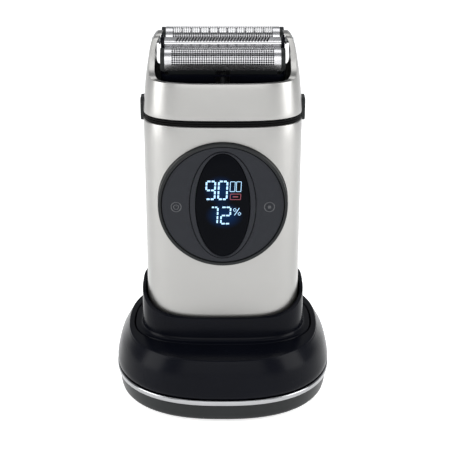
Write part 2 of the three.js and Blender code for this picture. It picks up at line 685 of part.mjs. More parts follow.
function displayRing() {
  const hole = oval(0, DIAL.height, LENS_HALF_WIDTH + 0.25, LENS_HALF_HEIGHT + 0.25);
  const front = FACE_FRONT - DIAL.bezelProud;
  const ring = withHole(oval(0, DIAL.height, DIAL.bezelHalfWidth, BEZEL_HALF_HEIGHT), hole);
  return alongY(ring, front, front + DIAL.bezelDepth, 16);
}

function displayLens() {
  const front = FACE_FRONT;
  return alongY(oval(0, DIAL.height, LENS_HALF_WIDTH, LENS_HALF_HEIGHT), front, front + 1.2, 16);
}

function displayModule() {
  const front = FACE_FRONT + 1.2 + SEAM;
  const halfWidth = LENS_HALF_WIDTH - DIAL.moduleInset;
  const halfHeight = LENS_HALF_HEIGHT * Math.sqrt(1 - (halfWidth / LENS_HALF_WIDTH) ** 2) + DIAL.moduleRise;
  const outline = panel(-halfWidth, DIAL.height - halfHeight, halfWidth, DIAL.height + halfHeight, 1);
  return alongY(outline, front, front + 2.6, 2);
}

function mainBoard() {
  const reach = DIAL.radius - 3;
  const outline = panel(-21.5, DIAL.height - reach, 21.5, DIAL.height + reach, 2);
  return alongY(outline, BOARD_Y, BOARD_Y + 1.6, 3);
}

function keySwitch(side) {
  const x = side * (DIAL.bezelHalfWidth + DIAL.keyGap);
  const { half, height, plunger: radius } = KEY_SWITCH;
  const outline = panel(x - half, DIAL.height - half, x + half, DIAL.height + half);
  const housing = alongY(outline, BOARD_Y - height, BOARD_Y - 0.1, 1);
  const plunger = alongY(disc(x, DIAL.height, radius), FACE_BACK + 0.6, BOARD_Y - 3, 6);
  return shaped(housing, { join: [plunger] });
}

// ---------------------------------------------------------------- inside the handset

function batteryCell() {
  const can = alongZ(disc(0, CELL.axisY, CELL.radius), CELL.bottom, CELL.bottom + CELL.length - 1, 10);
  const pole = alongZ(disc(0, CELL.axisY, 3), CELL.bottom + 2, CELL.bottom + CELL.length, 6);
  return shaped(can, { join: [pole] });
}

function motor() {
  const can = alongZ(disc(0, DRIVE.axisY, DRIVE.motorRadius), MOTOR_BOTTOM + 0.5, MOTOR_TOP - 1, 12);
  const nose = alongZ(disc(0, DRIVE.axisY, 4), MOTOR_TOP - 2, MOTOR_TOP, 8);
  return shaped(can, { join: [nose] });
}

function eccentricCam() {
  const low = MOTOR_TOP + 0.4;
  const hub = alongZ(disc(0, DRIVE.axisY, DRIVE.hubRadius), low, low + 2.2, 8);
  const pin = alongZ(disc(0, DRIVE.axisY + DRIVE.throw, DRIVE.crankPin), low + 2, low + 5, 6);
  return shaped(hub, { join: [pin] });
}

// A sliding plate round the crank pin, with one prong for each cutter row. The slot is wide
// enough for the pin at any crank angle, because the crank's link to the plate is left open.
function driveYoke() {
  const low = MOTOR_TOP + 3.2;
  const reach = DRIVE.crankPin + 2 * DRIVE.throw + 0.4;
  const plate = block(-8, YOKE_FRONT, low, 8, YOKE_BACK, low + 1.6, 1.5);
  const slot = block(-reach, DRIVE.axisY - reach, low - 1, reach, DRIVE.axisY + reach, low + 3);
  const join = prongs().map(([y, top]) => alongZ(disc(0, y, DRIVE.prongRadius), low + 4, top, 6));
  return shaped(shaped(plate, { cut: [slot] }), { join: [yokeBridge(low, reach), ...join] });
}

// A low bridge over the crank pin's slot, which carries the prongs.
function yokeBridge(low, reach) {
  const [front, back, under, top] = [YOKE_FRONT + 0.4, YOKE_BACK - 0.4, low + 3.2, low + 4.6];
  const [slotFront, slotBack] = [DRIVE.axisY - reach, DRIVE.axisY + reach];
  const outline = [
    [front, low + 1], [slotFront, low + 1], [slotFront, under], [slotBack, under],
    [slotBack, low + 1], [back, low + 1], [back, top], [front, top],
  ];
  const span = new THREE.Shape(outline.map((point) => new THREE.Vector2(...point)));
  return alongX(span, -1.6, 1.6, 1);
}

// Where each prong stands, and how high it reaches: [y, top].
function prongs() {
  return [ROWS.front, 0, ROWS.rear].map((row) => headPoint(row, TUB_TOP - PRONG_DROP));
}

// The place in the handset of a point given by the head's own depth and height.
function headPoint(across, up) {
  const tilt = THREE.MathUtils.degToRad(HEAD.tilt);
  return [
    across * Math.cos(tilt) - up * Math.sin(tilt),
    HEAD.pivotHeight + across * Math.sin(tilt) + up * Math.cos(tilt),
  ];
}

function chargeBoard() {
  return block(-13, -5, BODY.bottom + BODY.wall + 1.4, 13, 5, BODY.bottom + BODY.wall + 2.6, 1);
}

function chargePad(side) {
  const pad = disc(side * CONTACT.spacing, 0, CONTACT.padRadius);
  return alongZ(pad, BODY.bottom + 0.4, BODY.bottom + BODY.wall + 1.2, 8);
}

function makeHandset() {
  const handset = new THREE.Group();
  handset.add(
    piece('front_shell', frontShell(), 'satinMetal'),
    piece('rear_shell', rearShell(), 'satinMetal'),
    piece('inner_chassis', innerChassis(), 'innerPlastic'),
    piece('neck_seal', neckSeal(), 'rubber'),
    piece('release_button_left', releaseButton(-1), 'satinBlack'),
    piece('release_button_right', releaseButton(1), 'satinBlack'),
    piece('dial_ring', dialRing(), 'satinBlack'),
    piece('dial_face', dialFace(), 'dialFace'),
    piece('display_ring', displayRing(), 'dialFace'),
    piece('display_lens', displayLens(), 'displayGlass'),
    piece('display_module', displayModule(), 'innerPlastic'),
    piece('main_board', mainBoard(), 'circuitBoard'),
    piece('power_switch', keySwitch(-1), 'innerPlastic'),
    piece('mode_switch', keySwitch(1), 'innerPlastic'),
    piece('battery_cell', batteryCell(), 'cellWrap'),
    piece('motor', motor(), 'motorCan'),
    piece('eccentric_cam', eccentricCam(), 'steel'),
    piece('drive_yoke', driveYoke(), 'innerPlastic'),
    piece('charge_board', chargeBoard(), 'circuitBoard'),
    piece('charge_pad_left', chargePad(-1), 'brass'),
    piece('charge_pad_right', chargePad(1), 'brass'),
  );
  shellScrewPlaces().forEach((place, i) => {
    handset.add(piece(`shell_screw_${i + 1}`, shellScrew(place), 'steel'));
  });
  return handset;
}

// ---------------------------------------------------------------- head frame

// The collar's outer outline: straight at first, then leaning in towards the arms' tips.
function collarRows(inset) {
  const rise = COLLAR.armHeight;
  const lean = [[0, 0], [0.4, 1.2], [0.64, 2.4], [0.82, 3.5], [0.93, 4.9], [1, 7]];
  return lean.map(([share, drawnIn]) => [
    COLLAR_HALF_WIDTH - drawnIn - inset,
    COLLAR_HALF_DEPTH - 0.8 * drawnIn - inset,
    COLLAR_BOTTOM + share * rise,
  ]);
}

// The rim seen from the side: low at the front and back, rising into an arm at the middle.
function rimCut() {
  const far = COLLAR_HALF_DEPTH + 10;
  const { armRoot, armTip } = COLLAR;
  const shoulder = COLLAR_RIM + 0.35 * (ARM_TOP - COLLAR_RIM);
  const shape = new THREE.Shape();
  shape.moveTo(-far, COLLAR_RIM);
  shape.lineTo(-armRoot - 3, COLLAR_RIM);
  shape.quadraticCurveTo(-armRoot + 1, COLLAR_RIM, -armRoot + 2.4, shoulder);
  shape.lineTo(-armTip - 0.6, ARM_TOP - 2.6);
  shape.quadraticCurveTo(-armTip, ARM_TOP, 0, ARM_TOP);
  shape.quadraticCurveTo(armTip, ARM_TOP, armTip + 0.6, ARM_TOP - 2.6);
  shape.lineTo(armRoot - 2.4, shoulder);
  shape.quadraticCurveTo(armRoot - 1, COLLAR_RIM, armRoot + 3, COLLAR_RIM);
  shape.lineTo(far, COLLAR_RIM);
  shape.lineTo(far, ARM_TOP + 20);
  shape.lineTo(-far, ARM_TOP + 20);
  return alongX(shape, -60, 60, 6);
}

function headFrame() {
  const inner = collarRows(COLLAR.wall);
  const outer = collarRows(0);
  const ring = squircle([...outer, ...inner.reverse(), outer[0]], BODY.power);
  const cut = [rimCut(), buttonSlot(COLLAR_BOTTOM - 1, BUTTON.top + SEAM)];
  cut.push(alongX(disc(0, HEAD.pivotHeight, HEAD.pinRadius + SEAM), -60, 60, 6));
  return shaped(ring, { cut });
}

// Each pin runs from the arm to the cassette's end plate, with a collar between them.
function pivotPin(side) {
  const stepRadius = HEAD.pinRadius + 0.6;
  const [inner, outer] = [HEAD.halfLength - 0.8, armFace(HEAD.pivotHeight) + COLLAR.wall];
  const shoulder = [HEAD.halfLength + SEAM, armFace(HEAD.pivotHeight + stepRadius) - SEAM];
  const rod = alongX(disc(0, HEAD.pivotHeight, HEAD.pinRadius), inner, outer, 6);
  const step = alongX(disc(0, HEAD.pivotHeight, stepRadius), shoulder[0], shoulder[1], 6);
  const pin = shaped(rod, { join: [step] });
  return side < 0 ? pin.rotateZ(Math.PI) : pin;
}

// How far out the arm's inner face stands at a height.
function armFace(height) {
  const rows = collarRows(COLLAR.wall);
  const i = rows.findIndex((row) => row[2] > height);
  const [low, high] = [rows[i - 1], rows[i]];
  const share = (height - low[2]) / (high[2] - low[2]);
  return low[0] + share * (high[0] - low[0]);
}

// ---------------------------------------------------------------- foil cassette, in the head's own frame

// Half a round arch over straight skirts: across is the row's place, bottom is the skirts' end.
function archShape(across, radius, bottom) {
  const shape = new THREE.Shape();
  shape.moveTo(across + radius, bottom);
  shape.lineTo(across + radius, -HEAD.archDrop);
  shape.absarc(across, -HEAD.archDrop, radius, 0, Math.PI);
  return shape.lineTo(across - radius, bottom);
}

function cassetteFrame() {
  const { halfLength, tubWall } = HEAD;
  const [wellX, wellY] = [halfLength - tubWall, TUB_HALF_DEPTH - tubWall];
  const tub = block(-halfLength, -TUB_HALF_DEPTH, TUB_BOTTOM, halfLength, TUB_HALF_DEPTH, TUB_TOP, 3);
  const well = block(-wellX, -wellY, TUB_BOTTOM - 1, wellX, wellY, TUB_TOP + 1, HEAD.tubCorner);
  const slot = block(-PRONG_SLOT, -TUB_HALF_DEPTH - 1, TUB_BOTTOM - 1, PRONG_SLOT, 0, TUB_TOP - HEAD.tubBand);
  const half = ROWS.rear - HEAD.archRadius - 0.9;
  const cheek = panel(-half, TUB_TOP - HEAD.cheekReach, half, HEAD.cheekTop, half - 0.05);
  const join = [-1, 1].map((side) => {
    const [x0, x1] = side < 0 ? [-halfLength, -halfLength + tubWall] : [halfLength - tubWall, halfLength];
    return alongX(cheek, x0, x1, 4);
  });
  const pinHole = alongX(disc(0, 0, HEAD.pinRadius + SEAM), -60, 60, 6);
  return shaped(shaped(tub, { cut: [well, slot] }), { join, cut: [pinHole] });
}

// The plastic ends that a foil is stretched between, a rail round its lower edge, and an apron
// on the outer side that reaches down into the tub.
function foilCarrier(across) {
  const { halfLength, endCap, archRadius, tubWall, railWidth } = HEAD;
  const cap = archShape(across, archRadius - 0.1, SKIRT_END - 0.2);
  const rail = withHole(
    panel(-halfLength, across - archRadius, halfLength, across + archRadius, 1.5),
    panel(
      -halfLength + endCap, across - archRadius + railWidth,
      halfLength - endCap, across + archRadius - railWidth, 0.5,
    ),
  );
  const side = Math.sign(across);
  const outside = side * (TUB_HALF_DEPTH - tubWall - SEAM);
  const [near, far] = [outside, outside - side * HEAD.apron].sort((p, q) => p - q);
  const reach = halfLength - tubWall - HEAD.tubCorner;
  const apron = block(-reach, near, TUB_TOP - HEAD.apronReach, reach, far, SKIRT_END - 0.2);
  const slot = block(
    -PRONG_SLOT, across - archRadius, TUB_TOP - 9,
    PRONG_SLOT, across + archRadius, RAIL_BOTTOM + HEAD.railHeight / 2,
  );
  const join = [
    apron,
    alongX(cap, -halfLength, -halfLength + endCap, 8),
    alongX(cap, halfLength - endCap, halfLength, 8),
  ];
  return shaped(alongZ(rail, RAIL_BOTTOM, SKIRT_END - 0.05, 3), { join, cut: [slot] });
}

function foilSheet(across) {
  const outer = archShape(across, HEAD.archRadius, SKIRT_END + 0.1);
  const outside = alongX(outer, -SHEET_HALF_LENGTH, SHEET_HALF_LENGTH, 10);
  const inner = archShape(across, ARCH_INNER, SKIRT_END - 1);
  return shaped(outside, { cut: [alongX(inner, -60, 60, 10)] });
}

// Thin round blades on a bar, and a fork below that the drive prong sits in.
function cutterBlock(across) {
  const radius = ARCH_INNER - 0.15;
  const section = panel(across - 1.5, SKIRT_END, across + 1.5, -HEAD.archDrop);
  const bar = alongX(section, -BLADE_HALF_LENGTH, BLADE_HALF_LENGTH, 1);
  const blade = new THREE.Shape();
  blade.absarc(across, -HEAD.archDrop, radius, 0, Math.PI);
  const pitch = (2 * BLADE_HALF_LENGTH - DRIVE.bladeThickness) / (DRIVE.bladeCount - 1);
  const join = forkTines(across);
  for (let i = 0; i < DRIVE.bladeCount; i++) {
    const x = -BLADE_HALF_LENGTH + i * pitch;
    join.push(alongX(blade, x, x + DRIVE.bladeThickness, 5));
  }
  return shaped(bar, { join });
}

function forkTines(across) {
  const gap = DRIVE.prongRadius + SEAM;
  return [-1, 1].map((side) => {
    const [x0, x1] = side < 0 ? [-gap - FORK.thickness, -gap] : [gap, gap + FORK.thickness];
    const { forkFoot, forkNeck, forkDrop } = HEAD;
    const low = panel(across - forkFoot, TUB_BOTTOM - forkDrop, across + forkFoot, SKIRT_END - FORK.footTop);
    const high = panel(across - forkNeck, SKIRT_END - 1, across + forkNeck, SKIRT_END + FORK.neckRise);
    const foot = alongX(low, x0, x1, 1);
    const neck = alongX(high, x0, x1, 1);
    return shaped(foot, { join: [neck] });
  });
}

function trimmerGuard() {
  const half = HEAD.trimmerHalfWidth;
  const section = panel(-half, SKIRT_END, half, HEAD.trimmerTop);
  const outside = alongX(section, -GUARD_HALF_LENGTH, GUARD_HALF_LENGTH, 1);
  const inside = alongX(panel(-half + 0.5, SKIRT_END - 1, half - 0.5, HEAD.trimmerTop - 0.5), -60, 60, 1);
  const cut = [inside];
  const count = 15;
  const solidEnd = 5;
  const pitch = (2 * (SHEET_HALF_LENGTH - solidEnd)) / (count - 1);
  for (let i = 0; i < count; i++) {
    const x = -SHEET_HALF_LENGTH + solidEnd + i * pitch;
    cut.push(block(x - 0.5, -half - 1, HEAD.trimmerTop - 1.6, x + 0.5, half + 1, HEAD.trimmerTop + 1));
  }
  return shaped(outside, { cut });
}

function trimmerCutter() {
  const half = HEAD.trimmerHalfWidth - 0.8;
  const top = HEAD.trimmerTop - 0.8;
  const bar = alongX(panel(-half, SKIRT_END, half, top - 1.2), -BLADE_HALF_LENGTH, BLADE_HALF_LENGTH, 1);
  const join = forkTines(0);
  const count = DRIVE.bladeCount;
  const pitch = (2 * BLADE_HALF_LENGTH - 1.6) / (count - 1);
  for (let i = 0; i < count; i++) {
    const x = -BLADE_HALF_LENGTH + i * pitch;
    join.push(block(x, -half, top - 1.4, x + 1.6, half, top));
  }
  return shaped(bar, { join });
}

function makeHead() {
  const cassette = new THREE.Group();
  cassette.position.set(0, 0, HEAD.pivotHeight);
  cassette.rotation.x = THREE.MathUtils.degToRad(HEAD.tilt);
  cassette.add(piece('cassette_frame', cassetteFrame(), 'satinBlack'));
  for (const [name, across] of Object.entries(ROWS)) {
    cassette.add(
      piece(`foil_carrier_${name}`, foilCarrier(across), 'satinBlack'),
      piece(`foil_${name}`, foilSheet(across), 'foilMetal'),
      piece(`cutter_${name}`, cutterBlock(across), 'bladeSteel'),
    );
  }
  cassette.add(
    piece('trimmer_guard', trimmerGuard(), 'foilMetal'),
    piece('trimmer_cutter', trimmerCutter(), 'bladeSteel'),
  );
  const head = new THREE.Group();
  head.add(
    piece('head_frame', headFrame(), 'satinMetal'),
    piece('pivot_pin_left', pivotPin(-1), 'steel'),
    piece('pivot_pin_right', pivotPin(1), 'steel'),
    cassette,
  );
  return head;
}

const shaver = new THREE.Group();
shaver.name = 'electric_shaver_in_dock';
shaver.add(makeDock(), makeHandset(), makeHead());

export default shaver;
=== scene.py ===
"""Looks for an electric shaver standing in its charging dock, built around the fixed frame."""

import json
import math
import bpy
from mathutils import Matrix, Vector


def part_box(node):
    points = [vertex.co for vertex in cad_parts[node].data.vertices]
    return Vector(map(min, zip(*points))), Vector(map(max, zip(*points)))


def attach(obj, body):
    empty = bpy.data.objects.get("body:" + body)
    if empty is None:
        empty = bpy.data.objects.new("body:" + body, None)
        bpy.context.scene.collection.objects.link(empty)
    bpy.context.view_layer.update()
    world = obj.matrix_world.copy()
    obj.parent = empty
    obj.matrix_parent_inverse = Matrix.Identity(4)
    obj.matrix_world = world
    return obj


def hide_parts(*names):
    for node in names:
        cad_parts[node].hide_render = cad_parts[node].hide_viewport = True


bl_info = {
    "name": "Shaver and charging dock",
    "version": (1, 0, 0),
    "blender": (4, 5, 0),
    "location": "View3D > Sidebar > Shaver",
    "description": "Builds the finished surfaces of an electric shaver in its dock",
    "category": "Object",
}

import bmesh
import bpy
from bpy.props import FloatProperty, FloatVectorProperty, PointerProperty
from mathutils import Matrix, Vector

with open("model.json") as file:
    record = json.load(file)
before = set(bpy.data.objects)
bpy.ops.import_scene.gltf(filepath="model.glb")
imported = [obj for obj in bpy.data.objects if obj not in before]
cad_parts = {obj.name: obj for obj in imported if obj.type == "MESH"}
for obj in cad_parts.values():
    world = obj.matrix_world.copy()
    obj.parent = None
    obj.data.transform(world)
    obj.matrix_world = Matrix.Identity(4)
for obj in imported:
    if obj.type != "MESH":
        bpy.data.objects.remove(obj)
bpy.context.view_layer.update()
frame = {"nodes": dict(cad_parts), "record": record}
NODES = frame["nodes"]
SLOT_OF = {name: node.material_slots[0].material.name for name, node in NODES.items()}

MM = 0.001
CORNER_STEPS = 24
GAP = 0.3  # clearance between pieces that meet
FAR = 60  # reach of a cutting tool that goes past any piece
CORNER_X, CORNER_Y = 13, 8  # rounding of the handset's lower end
CUP_POWER, FLANGE_POWER, FLANGE_THICK = 3.3, 2.8, 2.2
FRONT = Matrix.Rotation(math.pi / 2, 4, "X")
SIDE = Matrix.Rotation(math.pi / 2, 4, "Y")


def box_mm(node):
    """A node's lowest and highest corners, in millimetres."""
    low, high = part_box(node)
    return Vector(low) / MM, Vector(high) / MM


def middle_mm(node):
    low, high = box_mm(node)
    return (low + high) / 2


RING_LOW, RING_HIGH = box_mm("chrome_ring")
CUP_HIGH = box_mm("dock_cup")[1]
CASE_LOW, CASE_HIGH = box_mm("front_shell")
REAR_LOW, REAR_HIGH = box_mm("rear_shell")
BUTTON_LOW, BUTTON_HIGH = box_mm("release_button_right")
COLLAR_LOW, COLLAR_HIGH = box_mm("head_frame")
DIAL_LOW, DIAL_HIGH = box_mm("dial_ring")
OVAL_LOW, OVAL_HIGH = box_mm("display_ring")
FACE_LOW, FACE_HIGH = box_mm("dial_face")
GLASS_LOW, GLASS_HIGH = box_mm("display_lens")
CONTACT_X = middle_mm("dock_pin_right").x
DIAL_Z = middle_mm("dial_ring").z
PIVOT_Z = middle_mm("pivot_pin_left").z
TO_DIAL = Matrix.Translation((0, 0, DIAL_Z)) @ FRONT


# ---------------------------------------------------------------- sizes and colours

def length(name, description, value):
    """A size in metres, given here in millimetres."""
    return FloatProperty(name=name, description=description, default=value * MM, min=0.0,
                         subtype="DISTANCE", unit="LENGTH")


def colour(name, description, value):
    return FloatVectorProperty(name=name, description=description, default=value, size=3,
                               min=0.0, max=1.0, subtype="COLOR")


class ShaverDockSizes(bpy.types.PropertyGroup):
    half_width: length("Half width", "Half the dock's width at the bright ring", RING_HIGH.x)
    half_depth: length("Half depth", "Half the dock's depth at the bright ring", RING_HIGH.y)
    power: FloatProperty(name="Roundness", description="Power of the dock's outline", default=2.42, min=2.0)
    plate_height: length("Plate height", "Height of the flat top plate", box_mm("dock_cover")[1].z)


class ShaverHandsetSizes(bpy.types.PropertyGroup):
    half_width: length("Half width", "Half the handset's width", CASE_HIGH.x)
    half_depth: length("Half depth", "Half the handset's depth", REAR_HIGH.y)
    power: FloatProperty(name="Roundness", description="Power of the handset's outline", default=3.1, min=2.0)
    wall: length("Wall", "Thickness of the shell", 1.8)
    dial_radius: length("Dial radius", "Outer radius of the dial's ring", DIAL_HIGH.x)
    icon_radius: length("Icon radius", "Radius of the two round key icons", 2.3)


class ShaverHeadSizes(bpy.types.PropertyGroup):
    tilt: FloatProperty(name="Rest tilt", description="How far the cassette leans at rest",
                        default=math.radians(18), subtype="ANGLE", unit="ROTATION")
    foil_radius: length("Foil radius", "Radius of each foil's arch", 4.6)
    row_pitch: length("Row place", "Distance of each foil row from the middle", 8.6)
    cell: length("Foil cell", "Spacing of the holes in the foils", 0.95)
    hole: length("Foil hole", "Half the width of a hole in the foils", 0.43)


class ShaverColours(bpy.types.PropertyGroup):
    satin: colour("Satin metal", "Warm silver of the shell and collar", (0.298, 0.295, 0.286))
    gloss: colour("Gloss black", "The dock's glossy black", (0.0016, 0.0019, 0.0034))
    soft_black: colour("Satin black", "Soft black plastic", (0.010, 0.011, 0.0115))
    face: colour("Dial face", "Blue-grey of the dial", (0.0115, 0.0125, 0.0155))
    digits: colour("Digits", "Colour of the lit figures", (0.42, 0.72, 1.0))
    warning: colour("Badge", "Colour of the lit badge outline", (0.55, 0.03, 0.06))


# ---------------------------------------------------------------- modelling by hand

def alone(piece):
    """Leaves only one object selected and active, in object mode."""
    if bpy.context.object and bpy.context.object.mode != "OBJECT":
        bpy.ops.object.mode_set(mode="OBJECT")
    bpy.ops.object.select_all(action="DESELECT")
    piece.select_set(True)
    bpy.context.view_layer.objects.active = piece


def open_piece(piece):
    alone(piece)
    bpy.ops.object.mode_set(mode="EDIT")
    bpy.ops.mesh.select_all(action="SELECT")


def close_piece():
    bpy.ops.object.mode_set(mode="OBJECT")


def add(kind, name, **settings):
    """Adds a primitive with nothing else selected, and opens it."""
    if bpy.context.object and bpy.context.object.mode != "OBJECT":
        bpy.ops.object.mode_set(mode="OBJECT")
    bpy.ops.object.select_all(action="DESELECT")
    getattr(bpy.ops.mesh, f"primitive_{kind}_add")(**settings)
    piece = bpy.context.object
    piece.name = piece.data.name = name
    open_piece(piece)
    return piece


def pick(piece, kind, test):
    """Selects only the open piece's verts, edges or faces that pass a test."""
    modes = ["verts", "edges", "faces"]
    bpy.context.tool_settings.mesh_select_mode = [mode == kind for mode in modes]
    bpy.ops.mesh.select_all(action="DESELECT")
    mesh = bmesh.from_edit_mesh(piece.data)
    for part in getattr(mesh, kind):
        if test(part):
            part.select_set(True)
    mesh.select_flush_mode()
    bmesh.update_edit_mesh(piece.data)


def squircle(name, half_width, half_depth, power, height):
    """A flat face whose corners are beveled until they meet in one even curve."""
    piece = add("plane", name, size=2)
    bpy.ops.mesh.bevel(affect="VERTICES", offset=1, segments=CORNER_STEPS, profile=2 ** (-2 / power))
    bpy.ops.mesh.select_all(action="SELECT")
    bpy.ops.mesh.remove_doubles(threshold=0.0005)
    bpy.ops.mesh.select_all(action="SELECT")
    bpy.ops.transform.resize(value=(half_width, half_depth, 1), center_override=(0, 0, 0))
    bpy.ops.transform.translate(value=(0, 0, height))
    return piece


def grow(here, rows):
    """Extrudes the selected face through rows of half width, half depth and height."""
    for row in rows:
        bpy.ops.mesh.extrude_region_move()
        share = (row[0] / here[0], row[1] / here[1], 1)
        bpy.ops.transform.resize(value=share, center_override=(0, 0, here[2]))
        bpy.ops.transform.translate(value=(0, 0, row[2] - here[2]))
        here = row


def loft(name, power, rows, open_above=None):
    """A squircle grown through rows; end faces above a given height are left open."""
    piece = squircle(name, rows[0][0], rows[0][1], power, rows[0][2])
    grow(rows[0], rows[1:])
    if open_above is not None:
        pick(piece, "faces", lambda face: len(face.verts) > 4 and face.calc_center_median().z > open_above)
        bpy.ops.mesh.delete(type="FACE")
    close_piece()
    return piece


def hoop(name, power, rows):
    """A closed ring: the rows run once round its section and end where they began."""
    piece = loft(name, power, [*rows, rows[0]], open_above=0)
    right_way_out(piece)
    return piece


def merge(piece, *others):
    """Joins open tubes into one piece."""
    alone(piece)
    for other in others:
        other.select_set(True)
    bpy.ops.object.join()
    return piece


def pick_rim(piece, axis, place):
    """Selects the open piece's boundary edges that lie at one place along an axis."""
    pick(piece, "edges", lambda edge: edge.is_boundary
         and all(abs(vert.co[axis] - place) < 0.01 for vert in edge.verts))


def bridge(piece, height):
    """Bridges the two open edges that lie at one height."""
    open_piece(piece)
    pick_rim(piece, 2, height)
    bpy.ops.mesh.bridge_edge_loops()
    close_piece()


def right_way_out(piece):
    open_piece(piece)
    bpy.ops.mesh.remove_doubles(threshold=0.001)
    bpy.ops.mesh.normals_make_consistent(inside=False)
    close_piece()


def smooth_rows(rows, steps):
    """Rows on a smooth curve through the given ones."""
    out = []
    for i in range(len(rows) - 1):
        a, b, c, d = rows[max(i - 1, 0)], rows[i], rows[i + 1], rows[min(i + 2, len(rows) - 1)]
        for step in range(steps):
            t = step / steps
            out.append(tuple(
                0.5 * (2 * q + (r - p) * t + (2 * p - 5 * q + 4 * r - s) * t * t
                       + (3 * q - p - 3 * r + s) * t ** 3)
                for p, q, r, s in zip(a, b, c, d)))
    return [*out, tuple(rows[-1])]


def quarter_turns(steps):
    """Angles from nothing to a quarter turn."""
    return [i / steps * math.pi / 2 for i in range(steps + 1)]


def quarter(start, end, steps):
    """Rows on a quarter round that leaves start upright and reaches end level."""
    rows = []
    for turn in quarter_turns(steps)[1:]:
        out = [start[k] + (end[k] - start[k]) * (1 - math.cos(turn)) for k in (0, 1)]
        rows.append((*out, start[2] + (end[2] - start[2]) * math.sin(turn)))
    return rows


def bezier(points, steps=12):
    """Points after the first on a curve with one or two control points."""
    out = []
    for i in range(1, steps + 1):
        t = i / steps
        row = [Vector(p) for p in points]
        while len(row) > 1:
            row = [a.lerp(b, t) for a, b in zip(row, row[1:])]
        out.append(tuple(row[0]))
    return out


def mirrored(points):
    """A side view's points on the other side, in the opposite order."""
    return [(-y, z) for y, z in reversed(points)]


def panel(name, half_u, half_v, radius, depth, turn, at):
    """A rounded plate, extruded by its depth, turned and put at its place."""
    piece = add("plane", name, size=2)
    bpy.ops.transform.resize(value=(half_u, half_v, 1), center_override=(0, 0, 0))
    bpy.ops.mesh.bevel(affect="VERTICES", offset=radius, segments=8, profile=0.5)
    bpy.ops.mesh.select_all(action="SELECT")
    bpy.ops.mesh.extrude_region_move()
    bpy.ops.transform.translate(value=(0, 0, depth))
    close_piece()
    piece.data.transform(Matrix.Translation(at) @ turn)
    right_way_out(piece)
    return piece


def rod(name, radius, depth, turn, at, vertices=64):
    """A round tool for a hole."""
    piece = add("cylinder", name, vertices=vertices, radius=radius, depth=depth)
    close_piece()
    piece.data.transform(Matrix.Translation(at) @ turn)
    return piece


def side_prism(name, outline, reach):
    """A side view of points (y, z), carried right across from -reach to +reach."""
    mesh = bpy.data.meshes.new(name)
    mesh.from_pydata([(-reach, y, z) for y, z in outline], [], [range(len(outline))])
    piece = bpy.data.objects.new(name, mesh)
    bpy.context.collection.objects.link(piece)
    open_piece(piece)
    bpy.ops.mesh.extrude_region_move()
    bpy.ops.transform.translate(value=(2 * reach, 0, 0))
    close_piece()
    right_way_out(piece)
    return piece


def lathe(name, outline, centre, steps=128):
    """A closed section of (radius, y) points spun once about a line along Y."""
    mesh = bpy.data.meshes.new(name)
    count = len(outline)
    mesh.from_pydata([(centre[0] + radius, y, centre[1]) for radius, y in outline],
                     [(i, (i + 1) % count) for i in range(count)], [])
    piece = bpy.data.objects.new(name, mesh)
    bpy.context.collection.objects.link(piece)
    open_piece(piece)
    bpy.ops.mesh.spin(steps=steps, angle=math.tau, center=(centre[0], 0, centre[1]), axis=(0, 1, 0))
    close_piece()
    right_way_out(piece)
    return piece


def apply(piece, kind, **settings):
    """Adds a modifier with its settings and applies it."""
    alone(piece)
    modifier = piece.modifiers.new(kind.lower(), kind)
    for key, value in settings.items():
        setattr(modifier, key, value)
    bpy.ops.object.modifier_apply(modifier=modifier.name)


def cut(piece, *tools):
    for tool in tools:
        apply(piece, "BOOLEAN", operation="DIFFERENCE", solver="EXACT", object=tool)
        bpy.data.objects.remove(tool)


def soften(piece, width, angle=32, segments=3):
    apply(piece, "BEVEL", width=width, segments=segments, limit_method="ANGLE",
          angle_limit=math.radians(angle), use_clamp_overlap=True, miter_outer="MITER_ARC")


def copy_of(piece, name):
    twin = piece.copy()
    twin.data = piece.data.copy()
    twin.name = twin.data.name = name
    bpy.context.collection.objects.link(twin)
    return twin


def finish(piece, body, slot, *nodes, angle=32, material=None):
    """Brings a piece to metres, smooths it, and gives it its finish, body and nodes."""
    piece.data.transform(Matrix.Scale(MM, 4))
    alone(piece)
    bpy.ops.object.shade_smooth_by_angle(angle=math.radians(angle))
    piece.data.materials.clear()
    piece.data.materials.append(finish_for(material or slot))
    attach(piece, body)
    if nodes:
        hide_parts(*nodes)
    return piece


def refined(node, body, width, angle=35, material=None):
    """A node's own shape, cleaned, with its sharp edges rounded so that they catch light."""
    piece = copy_of(NODES[node], f"{node}_rounded")
    piece.data.transform(piece.matrix_world)
    piece.parent = None
    piece.matrix_world = Matrix()
    piece.data.transform(Matrix.Scale(1 / MM, 4))
    open_piece(piece)
    bpy.ops.mesh.customdata_custom_splitnormals_clear()
    bpy.ops.mesh.remove_doubles(threshold=0.002)
    bpy.ops.mesh.dissolve_limited(angle_limit=math.radians(1))
    close_piece()
    soften(piece, width, angle, segments=2)
    return finish(piece, body, SLOT_OF[node], node, angle=angle, material=material)


# ---------------------------------------------------------------- finishes

